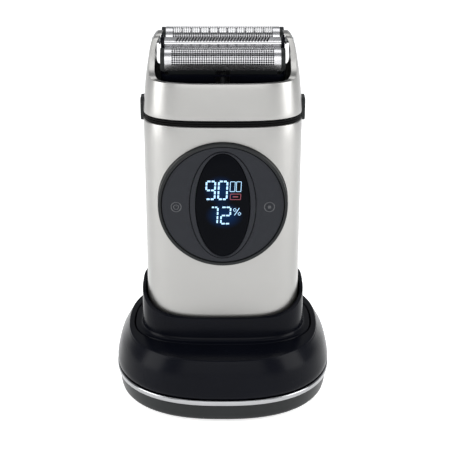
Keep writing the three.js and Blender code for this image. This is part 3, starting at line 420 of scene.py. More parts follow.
class Value:
    """A shader value that plain arithmetic works on; each step adds its own Math node."""

    def __init__(self, shade, socket):
        self.shade = shade
        self.socket = socket

    def math(self, operation, first, second=0.0):
        node = self.shade.node("Math", {"operation": operation}, {0: first, 1: second})
        return Value(self.shade, node.outputs[0])

    def __add__(self, other):
        return self.math("ADD", self, other)

    def __sub__(self, other):
        return self.math("SUBTRACT", self, other)

    def __mul__(self, other):
        return self.math("MULTIPLY", self, other)

    def __truediv__(self, other):
        return self.math("DIVIDE", self, other)

    def __pow__(self, other):
        return self.math("POWER", self, other)

    def __rsub__(self, other):
        return self.math("SUBTRACT", other, self)

    def __rtruediv__(self, other):
        return self.math("DIVIDE", other, self)

    __radd__ = __add__
    __rmul__ = __mul__

    def sine(self):
        return self.math("SINE", self)

    def clamped(self):
        return self.math("MINIMUM", self.math("MAXIMUM", self, 0.0), 1.0)


class Shade:
    """One procedural finish."""

    def __init__(self, name):
        self.material = bpy.data.materials.new(name)
        self.material.use_nodes = True
        self.tree = self.material.node_tree
        self.tree.nodes.clear()
        self.place = self.node("TexCoord", {}, {}).outputs["Object"]

    def node(self, kind, settings, sockets):
        """Any node, from its type, its settings and the values or links of its sockets."""
        node = self.tree.nodes.new(f"ShaderNode{kind}")
        for key, value in settings.items():
            setattr(node, key, value)
        for key, value in sockets.items():
            if isinstance(value, Value):
                value = value.socket
            if isinstance(value, bpy.types.NodeSocket):
                self.tree.links.new(value, node.inputs[key])
            else:
                node.inputs[key].default_value = value
        return node

    def noise(self, scale, detail=2.0, stretch=(1, 1, 1)):
        """Noise whose grains are 1/scale metres long, drawn out along an axis by its stretch."""
        place = self.node("VectorMath", {"operation": "MULTIPLY"}, {0: self.place, 1: stretch}).outputs[0]
        node = self.node("TexNoise", {}, {"Vector": place, "Scale": scale, "Detail": detail})
        return Value(self, node.outputs[0])

    def from_dial(self):
        """Distances in metres from the dial's middle, sideways and upwards."""
        node = self.node("SeparateXYZ", {}, {0: self.place})
        return Value(self, node.outputs[0]), Value(self, node.outputs[2]) - DIAL_Z * MM

    def blend(self, share, first, second):
        node = self.node("Mix", {"data_type": "RGBA"}, {0: share, 6: (*first, 1), 7: (*second, 1)})
        return node.outputs[2]

    def surface(self, bump=None, depth=0.00002, **sockets):
        """The shader; keys are its socket names with underscores for spaces."""
        values = {key.replace("_", " "): value for key, value in sockets.items()}
        if bump is not None:
            node = self.node("Bump", {}, {"Height": bump, "Strength": 0.5, "Distance": depth})
            values["Normal"] = node.outputs[0]
        shader = self.node("BsdfPrincipled", {}, values)
        self.node("OutputMaterial", {}, {0: shader.outputs[0]})
        return self.material


def tint(base, factor):
    return tuple(min(1.0, part * factor) for part in base)


def chosen(key):
    """One of the colours in the panel."""
    return tuple(getattr(bpy.context.scene.shaver_colours, key))


def satin_metal():
    shade = Shade("warm satin silver")
    base = chosen("satin")
    grain, cloud = shade.noise(2600, 3), shade.noise(55, 2)
    return shade.surface(
        Base_Color=shade.blend(cloud * 0.7 + grain * 0.3, tint(base, 0.94), tint(base, 1.05)),
        Metallic=0.95, Roughness=grain * 0.10 + cloud * 0.04 + 0.25, bump=grain, depth=0.00001)


def chrome():
    shade = Shade("polished chrome")
    smear = shade.noise(90, 3)
    return shade.surface(
        Base_Color=shade.blend(smear, (0.28, 0.285, 0.29), (0.34, 0.34, 0.35)), Metallic=1.0,
        Roughness=smear * 0.06 + 0.10, bump=shade.noise(700), depth=0.000004)


def gloss_black():
    shade = Shade("glossy blue-black plastic")
    base = chosen("gloss")
    smear, speck = shade.noise(45, 4), shade.noise(2200, 1)
    return shade.surface(
        Base_Color=shade.blend(smear, tint(base, 0.8), tint(base, 1.5)),
        Roughness=smear * 0.06 + speck * 0.03 + 0.19, Specular_IOR_Level=0.06, bump=speck, depth=0.000003)


def grained(name, base, roughness, scale=1800, depth=0.00003, metallic=0.0, spread=0.12, gloss=0.3):
    """Moulded or cast stuff with a fine grain and a little unevenness."""
    shade = Shade(name)
    grain, cloud = shade.noise(scale, 3), shade.noise(scale / 30, 2)
    return shade.surface(
        Base_Color=shade.blend(cloud, tint(base, 1 - spread), tint(base, 1 + spread)), Metallic=metallic,
        Roughness=grain * 0.12 + (roughness - 0.06), Specular_IOR_Level=gloss, bump=grain, depth=depth)


def satin_black():
    return grained("satin black plastic", chosen("soft_black"), 0.36, 2200, 0.00002, gloss=0.14)


def dial_face():
    shade = Shade("turned blue-grey dial")
    base, pitch = chosen("face"), 0.00042
    x, up = shade.from_dial()
    radius = (x * x + up * up) ** 0.5
    lines = (radius * (math.tau / pitch)).sine()
    cloud = shade.noise(300, 2)
    share = (lines * 0.5 + 0.5) * 0.6 + cloud * 0.4
    return shade.surface(
        Base_Color=shade.blend(share, tint(base, 0.8), tint(base, 1.3)),
        Roughness=cloud * 0.10 + 0.33, Specular_IOR_Level=0.12, bump=lines, depth=0.000012)


def display_glass():
    shade = Shade("dark display window")
    x, up = shade.from_dial()

    def spot(mid_x, mid_z, half_x, half_z):
        """A soft oval glow behind a line of figures, one at its middle and nothing past its edge."""
        across, along = (x - mid_x * MM) / (half_x * MM), (up - mid_z * MM) / (half_z * MM)
        return (1 - (across * across + along * along)).clamped()

    glow = (spot(-1, 7, 7.5, 7) + spot(0.6, -4.4, 8.5, 6.5)).clamped() ** 1.6
    return shade.surface(
        Base_Color=shade.blend(shade.noise(60), (0.0006, 0.0008, 0.0015), (0.0014, 0.0018, 0.003)),
        Roughness=shade.noise(50, 3) * 0.04 + 0.03, Specular_IOR_Level=0.03, Emission_Strength=1.0,
        Emission_Color=shade.blend(glow, (0, 0, 0), (0.0, 0.018, 0.075)))


def lit(name, shade_colour, strength):
    shade = Shade(name)
    dots = shade.noise(5200, 1)
    return shade.surface(
        Base_Color=(0.02, 0.02, 0.03, 1), Roughness=0.3, Emission_Strength=strength,
        Emission_Color=shade.blend(dots, tint(shade_colour, 0.8), tint(shade_colour, 1.0)))


def foil_steel():
    shade = Shade("stamped foil steel")
    grain, cloud = shade.noise(4000, 2), shade.noise(160, 2)
    return shade.surface(
        Base_Color=shade.blend(cloud, (0.42, 0.42, 0.43), (0.54, 0.54, 0.55)), Metallic=1.0,
        Roughness=grain * 0.12 + 0.20, bump=grain, depth=0.000006)


def brushed(name, base, roughness, stretch=(0.04, 1, 1)):
    shade = Shade(name)
    lines = shade.noise(3500, 2, stretch)
    return shade.surface(
        Base_Color=shade.blend(lines, tint(base, 0.85), tint(base, 1.1)), Metallic=1.0,
        Roughness=lines * 0.14 + (roughness - 0.07), bump=lines, depth=0.00001)


def circuit_board():
    shade = Shade("circuit board")
    cells = shade.node("TexVoronoi", {"feature": "DISTANCE_TO_EDGE"}, {"Vector": shade.place, "Scale": 420.0})
    tracks = (1 - Value(shade, cells.outputs[0]) * 9).clamped()
    return shade.surface(
        Base_Color=shade.blend(tracks, (0.012, 0.072, 0.030), (0.030, 0.130, 0.055)),
        Roughness=shade.noise(900) * 0.1 + 0.35, bump=tracks, depth=0.00003)


def cell_wrap():
    return grained("shrunk cell wrap", (0.030, 0.115, 0.340), 0.34, 600, 0.00004, spread=0.08)


RECIPES = {
    "satin_metal": satin_metal,
    "chrome": chrome,
    "foil_steel": foil_steel,
    "blade_steel": lambda: brushed("ground blade steel", (0.05, 0.05, 0.055), 0.4, (1, 0.05, 0.05)),
    "gloss_black": gloss_black,
    "satin_black": satin_black,
    "dial_face": dial_face,
    "display_glass": display_glass,
    "rubber": lambda: grained("soft rubber", (0.012, 0.012, 0.012), 0.62, 1500, 0.00006),
    "inner_plastic": lambda: grained("grey moulded plastic", (0.020, 0.021, 0.023), 0.5, gloss=0.2),
    "circuit_board": circuit_board,
    "cell_wrap": cell_wrap,
    "motor_can": lambda: brushed("drawn motor can", (0.42, 0.42, 0.43), 0.32, (1, 1, 0.05)),
    "brass": lambda: brushed("turned brass", (0.60, 0.40, 0.13), 0.26),
    "steel": lambda: brushed("plated steel", (0.30, 0.31, 0.32), 0.38),
    "ballast": lambda: grained("cast ballast", (0.10, 0.10, 0.105), 0.6, 900, 0.0001, 0.7, 0.2),
    "digits": lambda: lit("lit figures", chosen("digits"), 1.7),
    "badge": lambda: lit("lit badge", chosen("warning"), 0.6),
    "icon_metal": lambda: grained("raised key icons", (0.030, 0.032, 0.036), 0.3, 3000, 0.00001, gloss=0.5),
    "guard_steel": lambda: brushed("polished guard steel", (0.55, 0.55, 0.56), 0.22),
    "seal_black": lambda: grained("seal rubber", (0.002, 0.002, 0.002), 0.6, 1500, 0.00002, gloss=0.06),
}
MADE = {}


def finish_for(name):
    """A finish is made the first time that a piece asks for it."""
    if name not in MADE:
        MADE[name] = RECIPES[name]()
    return MADE[name]


# ---------------------------------------------------------------- rows that pieces share

def dock_row(inset, height, inset_y=None):
    """A row of the dock's outline, drawn in by one inset, or by a second one front to back."""
    sizes = bpy.context.scene.shaver_dock
    deep = sizes.half_depth / MM - (inset if inset_y is None else inset_y)
    return (sizes.half_width / MM - inset, deep, height)


def case_row(inset, height):
    """A row of the handset's outline; a negative inset stands out from it."""
    sizes = bpy.context.scene.shaver_handset
    return (sizes.half_width / MM - inset, sizes.half_depth / MM - inset, height)


def flange_row(growth, height):
    """A row round the cup's flange, grown by a clearance."""
    return (CUP_HIGH.x + growth, CUP_HIGH.y + growth, height)


def body_corner(growth):
    """The handset's rounded lower end, grown by a clearance."""
    rows = []
    for turn in quarter_turns(10):
        wide, deep, height = case_row(-growth, CASE_LOW.z)
        rows.append((wide - CORNER_X * (1 - math.sin(turn)), deep - CORNER_Y * (1 - math.sin(turn)),
                     height + CORNER_X * (1 - math.cos(turn)) - growth * math.cos(turn)))
    return rows


def button_slot(low=120, high=140):
    """A tool for the buttons' slot, well past its piece at any end that isn't given."""
    half_tall, middle = (high - low) / 2, (low + high) / 2
    return panel("slot_tool", half_tall, BUTTON_HIGH.y + GAP, 0.4, 2 * FAR, SIDE, (-FAR, 0, middle))


def in_head():
    """The cassette's own frame: its origin on the pivot line, leaning forwards."""
    tilt = bpy.context.scene.shaver_head.tilt
    return Matrix.Translation((0, 0, PIVOT_Z)) @ Matrix.Rotation(tilt, 4, "X")


# ---------------------------------------------------------------- operators

class SHAVER_OT_dock_base(bpy.types.Operator):
    """Tray under the dock, with the inlet's slot in its back"""
    bl_idname = "shaver.dock_base"
    bl_label = "Dock base"

    def execute(self, context):
        top = RING_LOW.z - GAP
        side = ((2.9, 1.4), (1.7, 2.6), (1.2, 5.4), (0.9, 8.0), (0.8, top - 0.3))
        rows = [dock_row(3.6, 1.2), *smooth_rows([dock_row(*row) for row in side], 3),
                dock_row(0.95, top), dock_row(3.0, top), dock_row(5.4, 3.4)]
        piece = loft("dock_tray", context.scene.shaver_dock.power, rows)
        right_way_out(piece)
        low, high = box_mm("dock_inlet")
        wide, tall = (high.x - low.x) / 2 + GAP, (high.z - low.z) / 2 + GAP
        place = (0, high.y + 12, (low.z + high.z) / 2)
        cut(piece, panel("slot_tool", wide, tall, tall - 0.05, 30, FRONT, place))
        finish(piece, "dock", "satin_black", "dock_base")
        return {"FINISHED"}


class SHAVER_OT_trim_ring(bpy.types.Operator):
    """Bright ring round the dock"""
    bl_idname = "shaver.trim_ring"
    bl_label = "Trim ring"

    def execute(self, context):
        low, high, edge, back = RING_LOW.z, RING_HIGH.z, 0.6, 2.6
        turns = quarter_turns(6)
        lower = [dock_row(edge * (1 - math.sin(t)), low + edge * (1 - math.cos(t))) for t in turns]
        upper = [dock_row(edge * (1 - math.cos(t)), high - edge * (1 - math.sin(t))) for t in turns]
        piece = hoop("bright_ring", context.scene.shaver_dock.power,
                     [dock_row(back, low), *lower, *upper, dock_row(back, high)])
        finish(piece, "dock", "chrome", "chrome_ring")
        return {"FINISHED"}


class SHAVER_OT_dock_cover(bpy.types.Operator):
    """Glossy flaring cover with the flat top plate"""
    bl_idname = "shaver.dock_cover"
    bl_label = "Dock cover"

    def execute(self, context):
        sizes = context.scene.shaver_dock
        top = sizes.plate_height / MM
        ledge, foot, waist = top - FLANGE_THICK, RING_HIGH.z + GAP, 22.8
        rows = [dock_row(7.9, ledge, 6.2), dock_row(4.3, waist, 3.7), dock_row(3.1, foot),
                dock_row(1.2, foot)]
        rows += smooth_rows([dock_row(0.9, foot + 0.15), dock_row(0.3, 13.6), dock_row(0.5, 16.6),
                             dock_row(2.2, waist, 1.6), dock_row(5.2, top - 1.6, 3.1),
                             dock_row(5.7, top - 0.85, 3.4)], 5)
        rows += quarter(rows[-1], dock_row(6.5, top, 4.1), 6)[1:]
        outer = loft("dock_hood", sizes.power, rows, open_above=0)
        opening = [flange_row(0.75, top), flange_row(0.45, top - 0.3), flange_row(0.45, ledge)]
        merge(outer, loft("hood_opening", FLANGE_POWER, opening, open_above=0))
        bridge(outer, top)
        bridge(outer, ledge)
        right_way_out(outer)
        finish(outer, "dock", "gloss_black", "dock_cover", angle=40)
        return {"FINISHED"}


class SHAVER_OT_cup(bpy.types.Operator):
    """Cup insert that the handset stands in, with its swept rim"""
    bl_idname = "shaver.cup"
    bl_label = "Cup insert"

    def execute(self, context):
        top = context.scene.shaver_dock.plate_height / MM
        ledge, room, growth, fillet, cut_height = top - FLANGE_THICK, 1.0, 2.5, 1.6, 56
        under = [row for row in body_corner(growth) if row[2] < ledge - 2]
        lower = loft("cup_insert", CUP_POWER, [*under, case_row(-growth, ledge)], open_above=20)
        flange = [flange_row(0, ledge), flange_row(0, top - 0.3), flange_row(-0.3, top)]
        foot = [case_row(-growth - fillet * (1 - math.sin(t)), top + fillet * (1 - math.cos(t)))
                for t in quarter_turns(6)]
        inner = [(wide, deep, max(height, CASE_LOW.z - GAP)) for wide, deep, height in body_corner(room)]
        wall = [*foot, case_row(0.2 - growth, cut_height), case_row(-room, cut_height), *reversed(inner)]
        merge(lower, loft("cup_flange", FLANGE_POWER, flange, open_above=0),
              loft("cup_wall", CUP_POWER, wall, open_above=25))
        bridge(lower, ledge)
        bridge(lower, top)
        right_way_out(lower)
        front, front_rim, side_rim, rear_rim = -24.1, 40.4, 48.0, 50.2
        rim = [(-FAR, front_rim), (front, front_rim),
               *bezier([(front, front_rim), (front + 6, front_rim), (-13.3, side_rim), (0, side_rim)], 20),
               (33.6, rear_rim), (FAR, rear_rim), (FAR, 70), (-FAR, 70)]
        cut(lower, side_prism("rim_tool", rim, FAR),
            *[rod("pin_tool", 1.5, 12, Matrix(), (side * CONTACT_X, 0, 18), 32) for side in (-1, 1)])
        soften(lower, 0.35, 40)
        finish(lower, "dock", "gloss_black", "dock_cup", angle=40)
        return {"FINISHED"}


class SHAVER_OT_shells(bpy.types.Operator):
    """Front and rear halves of the handset's shell"""
    bl_idname = "shaver.shells"
    bl_label = "Shells"

    def execute(self, context):
        sizes = context.scene.shaver_handset
        wall, edge, count = sizes.wall / MM, 0.6, 12
        bend, shoulder, top = CASE_LOW.z + CORNER_X, CASE_HIGH.z - edge, CASE_HIGH.z
        straight = [case_row(0, bend + step * (shoulder - bend) / count) for step in range(1, count + 1)]
        case = loft("case", sizes.power, [
            *body_corner(0), *straight, *quarter(case_row(0, shoulder), case_row(edge, top), 4),
            case_row(wall, top), *reversed(body_corner(-wall))])
        right_way_out(case)
        cut(case, button_slot(low=BUTTON_LOW.z - GAP))
        for x in (-CONTACT_X, CONTACT_X):
            cut(case, rod("pad_tool", 2.9, 12, Matrix(), (x, 0, CASE_LOW.z), 48))
        halves = ((case, "front_half", "front_shell", CASE_HIGH.y, -1),
                  (copy_of(case, "rear_half"), "rear_half", "rear_shell", REAR_LOW.y, 1))
        for piece, name, node, seam, side in halves:
            piece.name = piece.data.name = name
            open_piece(piece)
            bpy.ops.mesh.bisect(plane_co=(0, seam, 0), plane_no=(0, -side, 0), use_fill=True,
                                clear_outer=True)
            close_piece()
            if side < 0:
                cut(piece, rod("dial_tool", DIAL_HIGH.x + GAP, 30, FRONT, (0, -20, DIAL_Z), 160))
            else:
                screws = [middle_mm(f"shell_screw_{number}") for number in range(1, 5)]
                cut(piece, *[rod("screw_tool", 2.6, 20, FRONT, (at.x, 24, at.z), 48) for at in screws])
            finish(piece, "handset", "satin_metal", node, angle=34)
        return {"FINISHED"}


class SHAVER_OT_seal(bpy.types.Operator):
    """Black sealing band under the collar"""
    bl_idname = "shaver.seal"
    bl_label = "Seal"

    def execute(self, context):
        middle = middle_mm("neck_seal").z
        section = ((2.2, -1), (0.8, -1), (0.4, -0.65), (0.4, -0.2), (0.8, 0), (0.4, 0.2), (0.4, 0.65),
                   (0.8, 1), (2.2, 1))
        piece = hoop("neck_band", context.scene.shaver_handset.power,
                     [case_row(inset, middle + rise) for inset, rise in section])
        cut(piece, button_slot())
        finish(piece, "handset", "rubber", "neck_seal", material="seal_black")
        return {"FINISHED"}


class SHAVER_OT_buttons(bpy.types.Operator):
    """Release button, made once and turned round for the other side"""
    bl_idname = "shaver.buttons"
    bl_label = "Release buttons"

    def execute(self, context):
        low, high = BUTTON_LOW, BUTTON_HIGH
        right = panel("release_key_right", (high.z - low.z) / 2, high.y, 2, high.x - low.x, SIDE,
                      (low.x, 0, (low.z + high.z) / 2))
        open_piece(right)
        pick(right, "faces", lambda face: face.normal.x > 0.9)
        for inset, depth in ((1.0, 0.0), (0.35, -0.25)):
            bpy.ops.mesh.inset(thickness=inset, depth=depth)
        close_piece()
        soften(right, 0.4, 40)
        left = copy_of(right, "release_key_left")
        left.data.transform(Matrix.Rotation(math.pi, 4, "Z"))
        for side, piece in (("right", right), ("left", left)):
            finish(piece, f"button_{side}", "satin_black", f"release_button_{side}")
        return {"FINISHED"}


class SHAVER_OT_collar(bpy.types.Operator):
    """Silver collar with its two arms"""
    bl_idname = "shaver.collar"
    bl_label = "Collar"

    def execute(self, context):
        low, top, wall = COLLAR_LOW.z, COLLAR_HIGH.z, 1.9
        lean = smooth_rows([(0, 0), (0.4, 1.2), (0.64, 2.4), (0.82, 3.5), (0.93, 4.9), (1, 7)], 4)

        def leaning(inset):
            """Rows up one skin of the collar, which draws in more at its sides than at its front."""
            wide, deep, _ = case_row(inset, low)
            return [(wide - drawn, deep - 0.8 * drawn, low + share * (top - low)) for share, drawn in lean]

        piece = hoop("silver_collar", context.scene.shaver_handset.power, [
            case_row(0.4, low), case_row(0.1, low + 0.3), *leaning(0)[1:], *reversed(leaning(wall))])
        rim = low + 15.4
        shoulder = rim + 0.35 * (top - rim)
        half = [(-14.5, rim), *bezier([(-14.5, rim), (-10.5, rim), (-9.1, shoulder)]),
                (-5.2, top - 2.6), *bezier([(-5.2, top - 2.6), (-4.6, top), (0, top)])]
        outline = [(-40, rim), *half, *mirrored(half[:-1]), (40, rim), (40, 190), (-40, 190)]
        cut(piece, side_prism("rim_tool", outline, FAR), button_slot(high=BUTTON_HIGH.z + GAP),
            rod("pin_tool", 1.5, 2 * FAR, SIDE, (0, 0, PIVOT_Z), 48))
        soften(piece, 0.45, 40, 4)
        finish(piece, "head", "satin_metal", "head_frame", angle=40)
        return {"FINISHED"}


class SHAVER_OT_dial(bpy.types.Operator):
    """Dial ring, turned face and its two raised key icons"""
    bl_idname = "shaver.dial"
    bl_label = "Dial"

    def execute(self, context):
        sizes = context.scene.shaver_handset
        radius, front, back = sizes.dial_radius / MM, DIAL_LOW.y, DIAL_HIGH.y
        bore, lip, lip_front, lip_back = radius - 1.3, 24.3, -20.1, -18.7
        outline = [(radius, back), (radius, front + 0.35), (radius - 0.12, front + 0.1),
                   (radius - 0.4, front), (bore + 0.35, front), (bore + 0.1, front + 0.12),
                   (bore, front + 0.35), (bore, lip_front), (lip, lip_front), (lip, lip_back),
                   (bore, lip_back), (bore, back)]
        finish(lathe("dial_rim", outline, (0, DIAL_Z)), "handset", SLOT_OF["dial_ring"], "dial_ring")

        edge, front, back, bore = FACE_HIGH.x, FACE_LOW.y, FACE_HIGH.y, 0.2
        outline = [(bore, front), (edge - 0.35, front), (edge - 0.1, front + 0.1), (edge, front + 0.35),
                   (edge, back), (bore, back)]
        face = lathe("dial_disc", outline, (0, DIAL_Z), 160)
        wide, tall = OVAL_HIGH.x + GAP, OVAL_HIGH.z - DIAL_Z + GAP
        hole = loft("oval_tool", 2.0, [(wide, tall, 15), (wide, tall, 30)])
        right_way_out(hole)
        hole.data.transform(TO_DIAL)
        cut(face, hole)
        soften(face, 0.12, 50, 2)
        finish(face, "dial", "dial_face", "dial_face")

        place, size, root, rise = 19.8, sizes.icon_radius / MM, front + 0.05, 0.21
        middle = DIAL_Z - 0.5

        def band(name, x, outer, thick=0.34):
            """A raised ring with eased edges."""
            inner, ease = outer - thick, 0.08
            section = [(outer, root), (outer, root - 0.15), (outer - ease, root - rise),
                       (inner + ease, root - rise), (inner, root - 0.15), (inner, root)]
            return lathe(name, section, (x, middle), 72)

        def plate(name, half_x, half_z, round_off, x, z):
            """A raised block with eased edges."""
            block = panel(name, half_x, half_z, round_off, rise, FRONT, (x, root, z))
            soften(block, 0.06, 40, 2)
            return block

        left = band("power_icon", -place, size)
        inner = band("power_arc", -place, size * 0.52, 0.3)
        cut(inner, panel("gap_tool", 0.42, 1.2, 0.1, 2, FRONT, (-place, root + 0.55, DIAL_Z + 0.8)))
        merge(left, inner, plate("power_bar", 0.15, 0.55, 0.1, -place, DIAL_Z + 0.35))
        right = band("mode_icon", place, size)
        merge(right, plate("mode_mark", 0.62, 0.62, 0.25, place, middle))
        for piece in (left, right):
            finish(piece, "dial", "satin_metal", material="icon_metal")
        return {"FINISHED"}


class SHAVER_OT_window(bpy.types.Operator):
    """Oval ring, dark window and the lit figures"""
    bl_idname = "shaver.window"
    bl_label = "Display window"

    def execute(self, context):
        wide, tall, out, back = OVAL_HIGH.x, OVAL_HIGH.z - DIAL_Z, -OVAL_LOW.y, -OVAL_HIGH.y
        rows = [(wide, tall, back), (wide, tall, out - 0.35), (wide - 0.1, tall - 0.1, out - 0.1),
                (wide - 0.35, tall - 0.25, out), (wide - 1.8, tall - 0.38, out),
                (wide - 2.15, tall - 0.55, out - 0.12), (wide - 2.25, tall - 0.65, out - 0.4),
                (wide - 2.25, tall - 0.65, back)]
        ring = hoop("oval_ring", 2.0, rows)
        ring.data.transform(TO_DIAL)
        finish(ring, "handset", SLOT_OF["display_ring"], "display_ring")

        wide, tall, out, back = GLASS_HIGH.x, GLASS_HIGH.z - DIAL_Z, -GLASS_LOW.y, -GLASS_HIGH.y
        rows = [(wide, tall, back), (wide, tall, out - 0.25), (wide - 0.08, tall - 0.08, out - 0.12),
                (wide - 0.3, tall - 0.3, out - 0.06), (9.0, 18.0, out - 0.03), (5.0, 10.0, out - 0.01)]
        glass = loft("window_glass", 2.0, rows)
        right_way_out(glass)
        glass.data.transform(TO_DIAL)
        finish(glass, "handset", "display_glass", "display_lens")

        marks = {"0": "abcdef", "2": "abged", "7": "abc", "9": "abcdfg"}
        places = {"a": (0, 1, 0), "d": (0, -1, 0), "g": (0, 0, 0), "b": (1, 0.5, 1), "c": (1, -0.5, 1),
                  "e": (-1, -0.5, 1), "f": (-1, 0.5, 1)}
        stroke = add("circle", "figure_stroke", vertices=6, radius=1, fill_type="NGON")
        close_piece()
        strokes = []

        def bar(mid_x, mid_z, half, thick, upright, lean=0.05):
            """One stroke with pointed ends, just in front of the glass."""
            piece = copy_of(stroke, "stroke")
            for vert in piece.data.vertices:
                reach = half if abs(vert.co.x) > 0.9 else half - 0.5 * thick
                along = math.copysign(reach, vert.co.x)
                across = math.copysign(thick, vert.co.y) if abs(vert.co.y) > 0.1 else 0
                u, v = (across, along) if upright else (along, across)
                vert.co = (mid_x + u + 0.05 * mid_z + lean * v, GLASS_LOW.y - 0.02, DIAL_Z + mid_z + v)
            strokes.append(piece)

        def figure(mark, x0, x1, z1, z0, thick):
            """A digit of broken strokes between two sides, its top and its foot."""
            half_x, half_z = (x1 - x0) / 2 - thick, (z1 - z0) / 2 - thick
            for key in marks[mark]:
                across, along, upright = places[key]
                half = (half_z / 2 if upright else half_x) - 0.1
                for shift in (-half / 2, half / 2):
                    mid_x = (x0 + x1) / 2 + across * half_x + (0 if upright else shift)
                    mid_z = (z0 + z1) / 2 + along * half_z + (shift if upright else 0)
                    bar(mid_x, mid_z, half / 2 - 0.04, thick, upright)

        def box_of_bars(x, z, half_x, half_z, reach_x, reach_z, thick):
            """Two upright and two level strokes round a middle."""
            for side in (-1, 1):
                bar(x + side * half_x, z, reach_z, thick, True)
                bar(x, z + side * half_z, reach_x, thick, False)

        def light_up(name, material):
            """Joins the strokes drawn so far into one lit piece."""
            piece = merge(*strokes)
            strokes.clear()
            piece.name = piece.data.name = name
            open_piece(piece)
            bpy.ops.mesh.extrude_region_move()
            bpy.ops.transform.translate(value=(0, -0.03, 0))
            close_piece()
            right_way_out(piece)
            finish(piece, "handset", "display_glass", material=material)

        for mark, x0, x1 in (("9", -7.7, -3.3), ("0", -2.5, 1.8)):
            figure(mark, x0, x1, 11.4, 2.7, 0.36)
        for mark, x0, x1 in (("7", -5.2, -1.7), ("2", -0.8, 3.7)):
            figure(mark, x0, x1, -0.3, -8.4, 0.32)
        for x in (3.7, 6.3):
            box_of_bars(x, 8.7, 1.0, 2.2, 1.0, 2.2, 0.11)
        bar(6.1, -2.6, 1.75, 0.16, True, 0.62)
        for x, z in ((5.15, -1.75), (7.25, -3.55)):
            box_of_bars(x, z, 0.5, 0.6, 0.42, 0.42, 0.12)
        light_up("lit_figures", "digits")
        box_of_bars(5.15, 4.15, 2.2, 1.25, 2.2, 1.2, 0.12)
        bar(5.15, 4.15, 1.2, 0.2, False)
        light_up("lit_badge", "badge")
        bpy.data.objects.remove(stroke)
        return {"FINISHED"}


class SHAVER_OT_foils(bpy.types.Operator):
    """Perforated foils, arched over their cutters"""
    bl_idname = "shaver.foils"
    bl_label = "Foils"

    def execute(self, context):
        sizes = context.scene.shaver_head
        radius, row = sizes.foil_radius / MM, sizes.row_pitch / MM
        cell, hole = sizes.cell / MM, sizes.hole / MM
        half_length, skirt, thick, crown_drop = box_mm("foil_front")[1].x, 2.7, 0.12, 3.8
        across, along = int(43.2 / cell), int(15.3 / cell)
        sheet = add("plane", "foil_sheet", size=cell)
        bpy.ops.mesh.subdivide(number_cuts=1)
        pick(sheet, "verts", lambda vert: vert.co.length < 0.001)
        bpy.ops.mesh.bevel(affect="VERTICES", offset=hole, segments=2, profile=0.086)
        bpy.ops.mesh.delete(type="FACE")
        close_piece()
        for count, step in ((across, (cell, 0, 0)), (along, (0, cell, 0))):
            apply(sheet, "ARRAY", count=count, use_relative_offset=False, use_constant_offset=True,
                  constant_offset_displace=step, use_merge_vertices=True, merge_threshold=0.001)
        half_x, half_y = across * cell / 2, along * cell / 2
        sheet.data.transform(Matrix.Translation((cell / 2 - half_x, cell / 2 - half_y, 0)))
        quarter_arc = radius * math.pi / 2
        open_piece(sheet)
        margins = ((0, half_x, (0.5, half_length - half_x - 0.5)),
                   (1, half_y, (quarter_arc + skirt - half_y,)))
        for axis, reach, steps in margins:
            for side in (-1, 1):
                pick_rim(sheet, axis, side * reach)
                for step in steps:
                    way = [0, 0, 0]
                    way[axis] = side * step
                    bpy.ops.mesh.extrude_region_move()
                    bpy.ops.transform.translate(value=way)
        bpy.ops.mesh.select_all(action="SELECT")
        bpy.ops.mesh.normals_make_consistent(inside=False)
        close_piece()
        if sum(face.normal.z for face in sheet.data.polygons) < 0:
            sheet.data.flip_normals()
        for vert in sheet.data.vertices:
            way, arc = math.copysign(1, vert.co.y), min(abs(vert.co.y), quarter_arc)
            drop = max(0, abs(vert.co.y) - quarter_arc)
            vert.co.y = way * radius * math.sin(arc / radius)
            vert.co.z = radius * math.cos(arc / radius) - crown_drop - drop
        apply(sheet, "SOLIDIFY", thickness=thick, offset=-1)
        for name, side in (("front", -1), ("rear", 1)):
            piece = copy_of(sheet, f"perforated_foil_{name}")
            piece.data.transform(in_head() @ Matrix.Translation((0, side * row, 0)))
            finish(piece, f"{name}_foil", "foil_steel", f"foil_{name}", angle=30)
        bpy.data.objects.remove(sheet)
        return {"FINISHED"}


class SHAVER_OT_cassette(bpy.types.Operator):
    """Cassette frame, foil carriers and pins, with their edges rounded"""
    bl_idname = "shaver.cassette"
    bl_label = "Cassette"

    def execute(self, context):
        bodies = frame["record"]["behaviour"]["bodies"]
        body_of = {node: body for body, nodes in bodies.items() for node in nodes}
        refined("cassette_frame", body_of["cassette_frame"], 0.3, material="gloss_black")
        for node in ("foil_carrier_front", "foil_carrier_rear", "pivot_pin_left", "pivot_pin_right"):
            refined(node, body_of[node], 0.2)
        return {"FINISHED"}


class SHAVER_OT_trimmer(bpy.types.Operator):
    """Centre trimmer guard, a channel with a row of slanted slots"""
    bl_idname = "shaver.trimmer"
    bl_label = "Trimmer guard"

    def execute(self, context):
        outer = [(-2.6, -6.5), (-2.6, -0.5), (-2.45, 0.0), (-2.0, 0.32), (-1.5, 0.4)]
        inner = [(-1.5, -0.15), (-2.05, -0.6), (-2.05, -6.5)]
        guard = side_prism("slotted_guard", [*outer, *mirrored(outer), *mirrored(inner), *inner],
                           box_mm("trimmer_guard")[1].x)
        count, pitch, slant = 31, 1.27, math.radians(-16)
        slot = panel("slot_tool", 0.36, 1.9, 0.3, 3, Matrix.Rotation(slant, 4, "Z"),
                     (-pitch * (count - 1) / 2, 0, -1))
        apply(slot, "ARRAY", count=count, use_relative_offset=False, use_constant_offset=True,
              constant_offset_displace=(pitch, 0, 0))
        cut(guard, slot)
        guard.data.transform(in_head())
        finish(guard, "trimmer", "foil_steel", "trimmer_guard", angle=40, material="guard_steel")
        return {"FINISHED"}


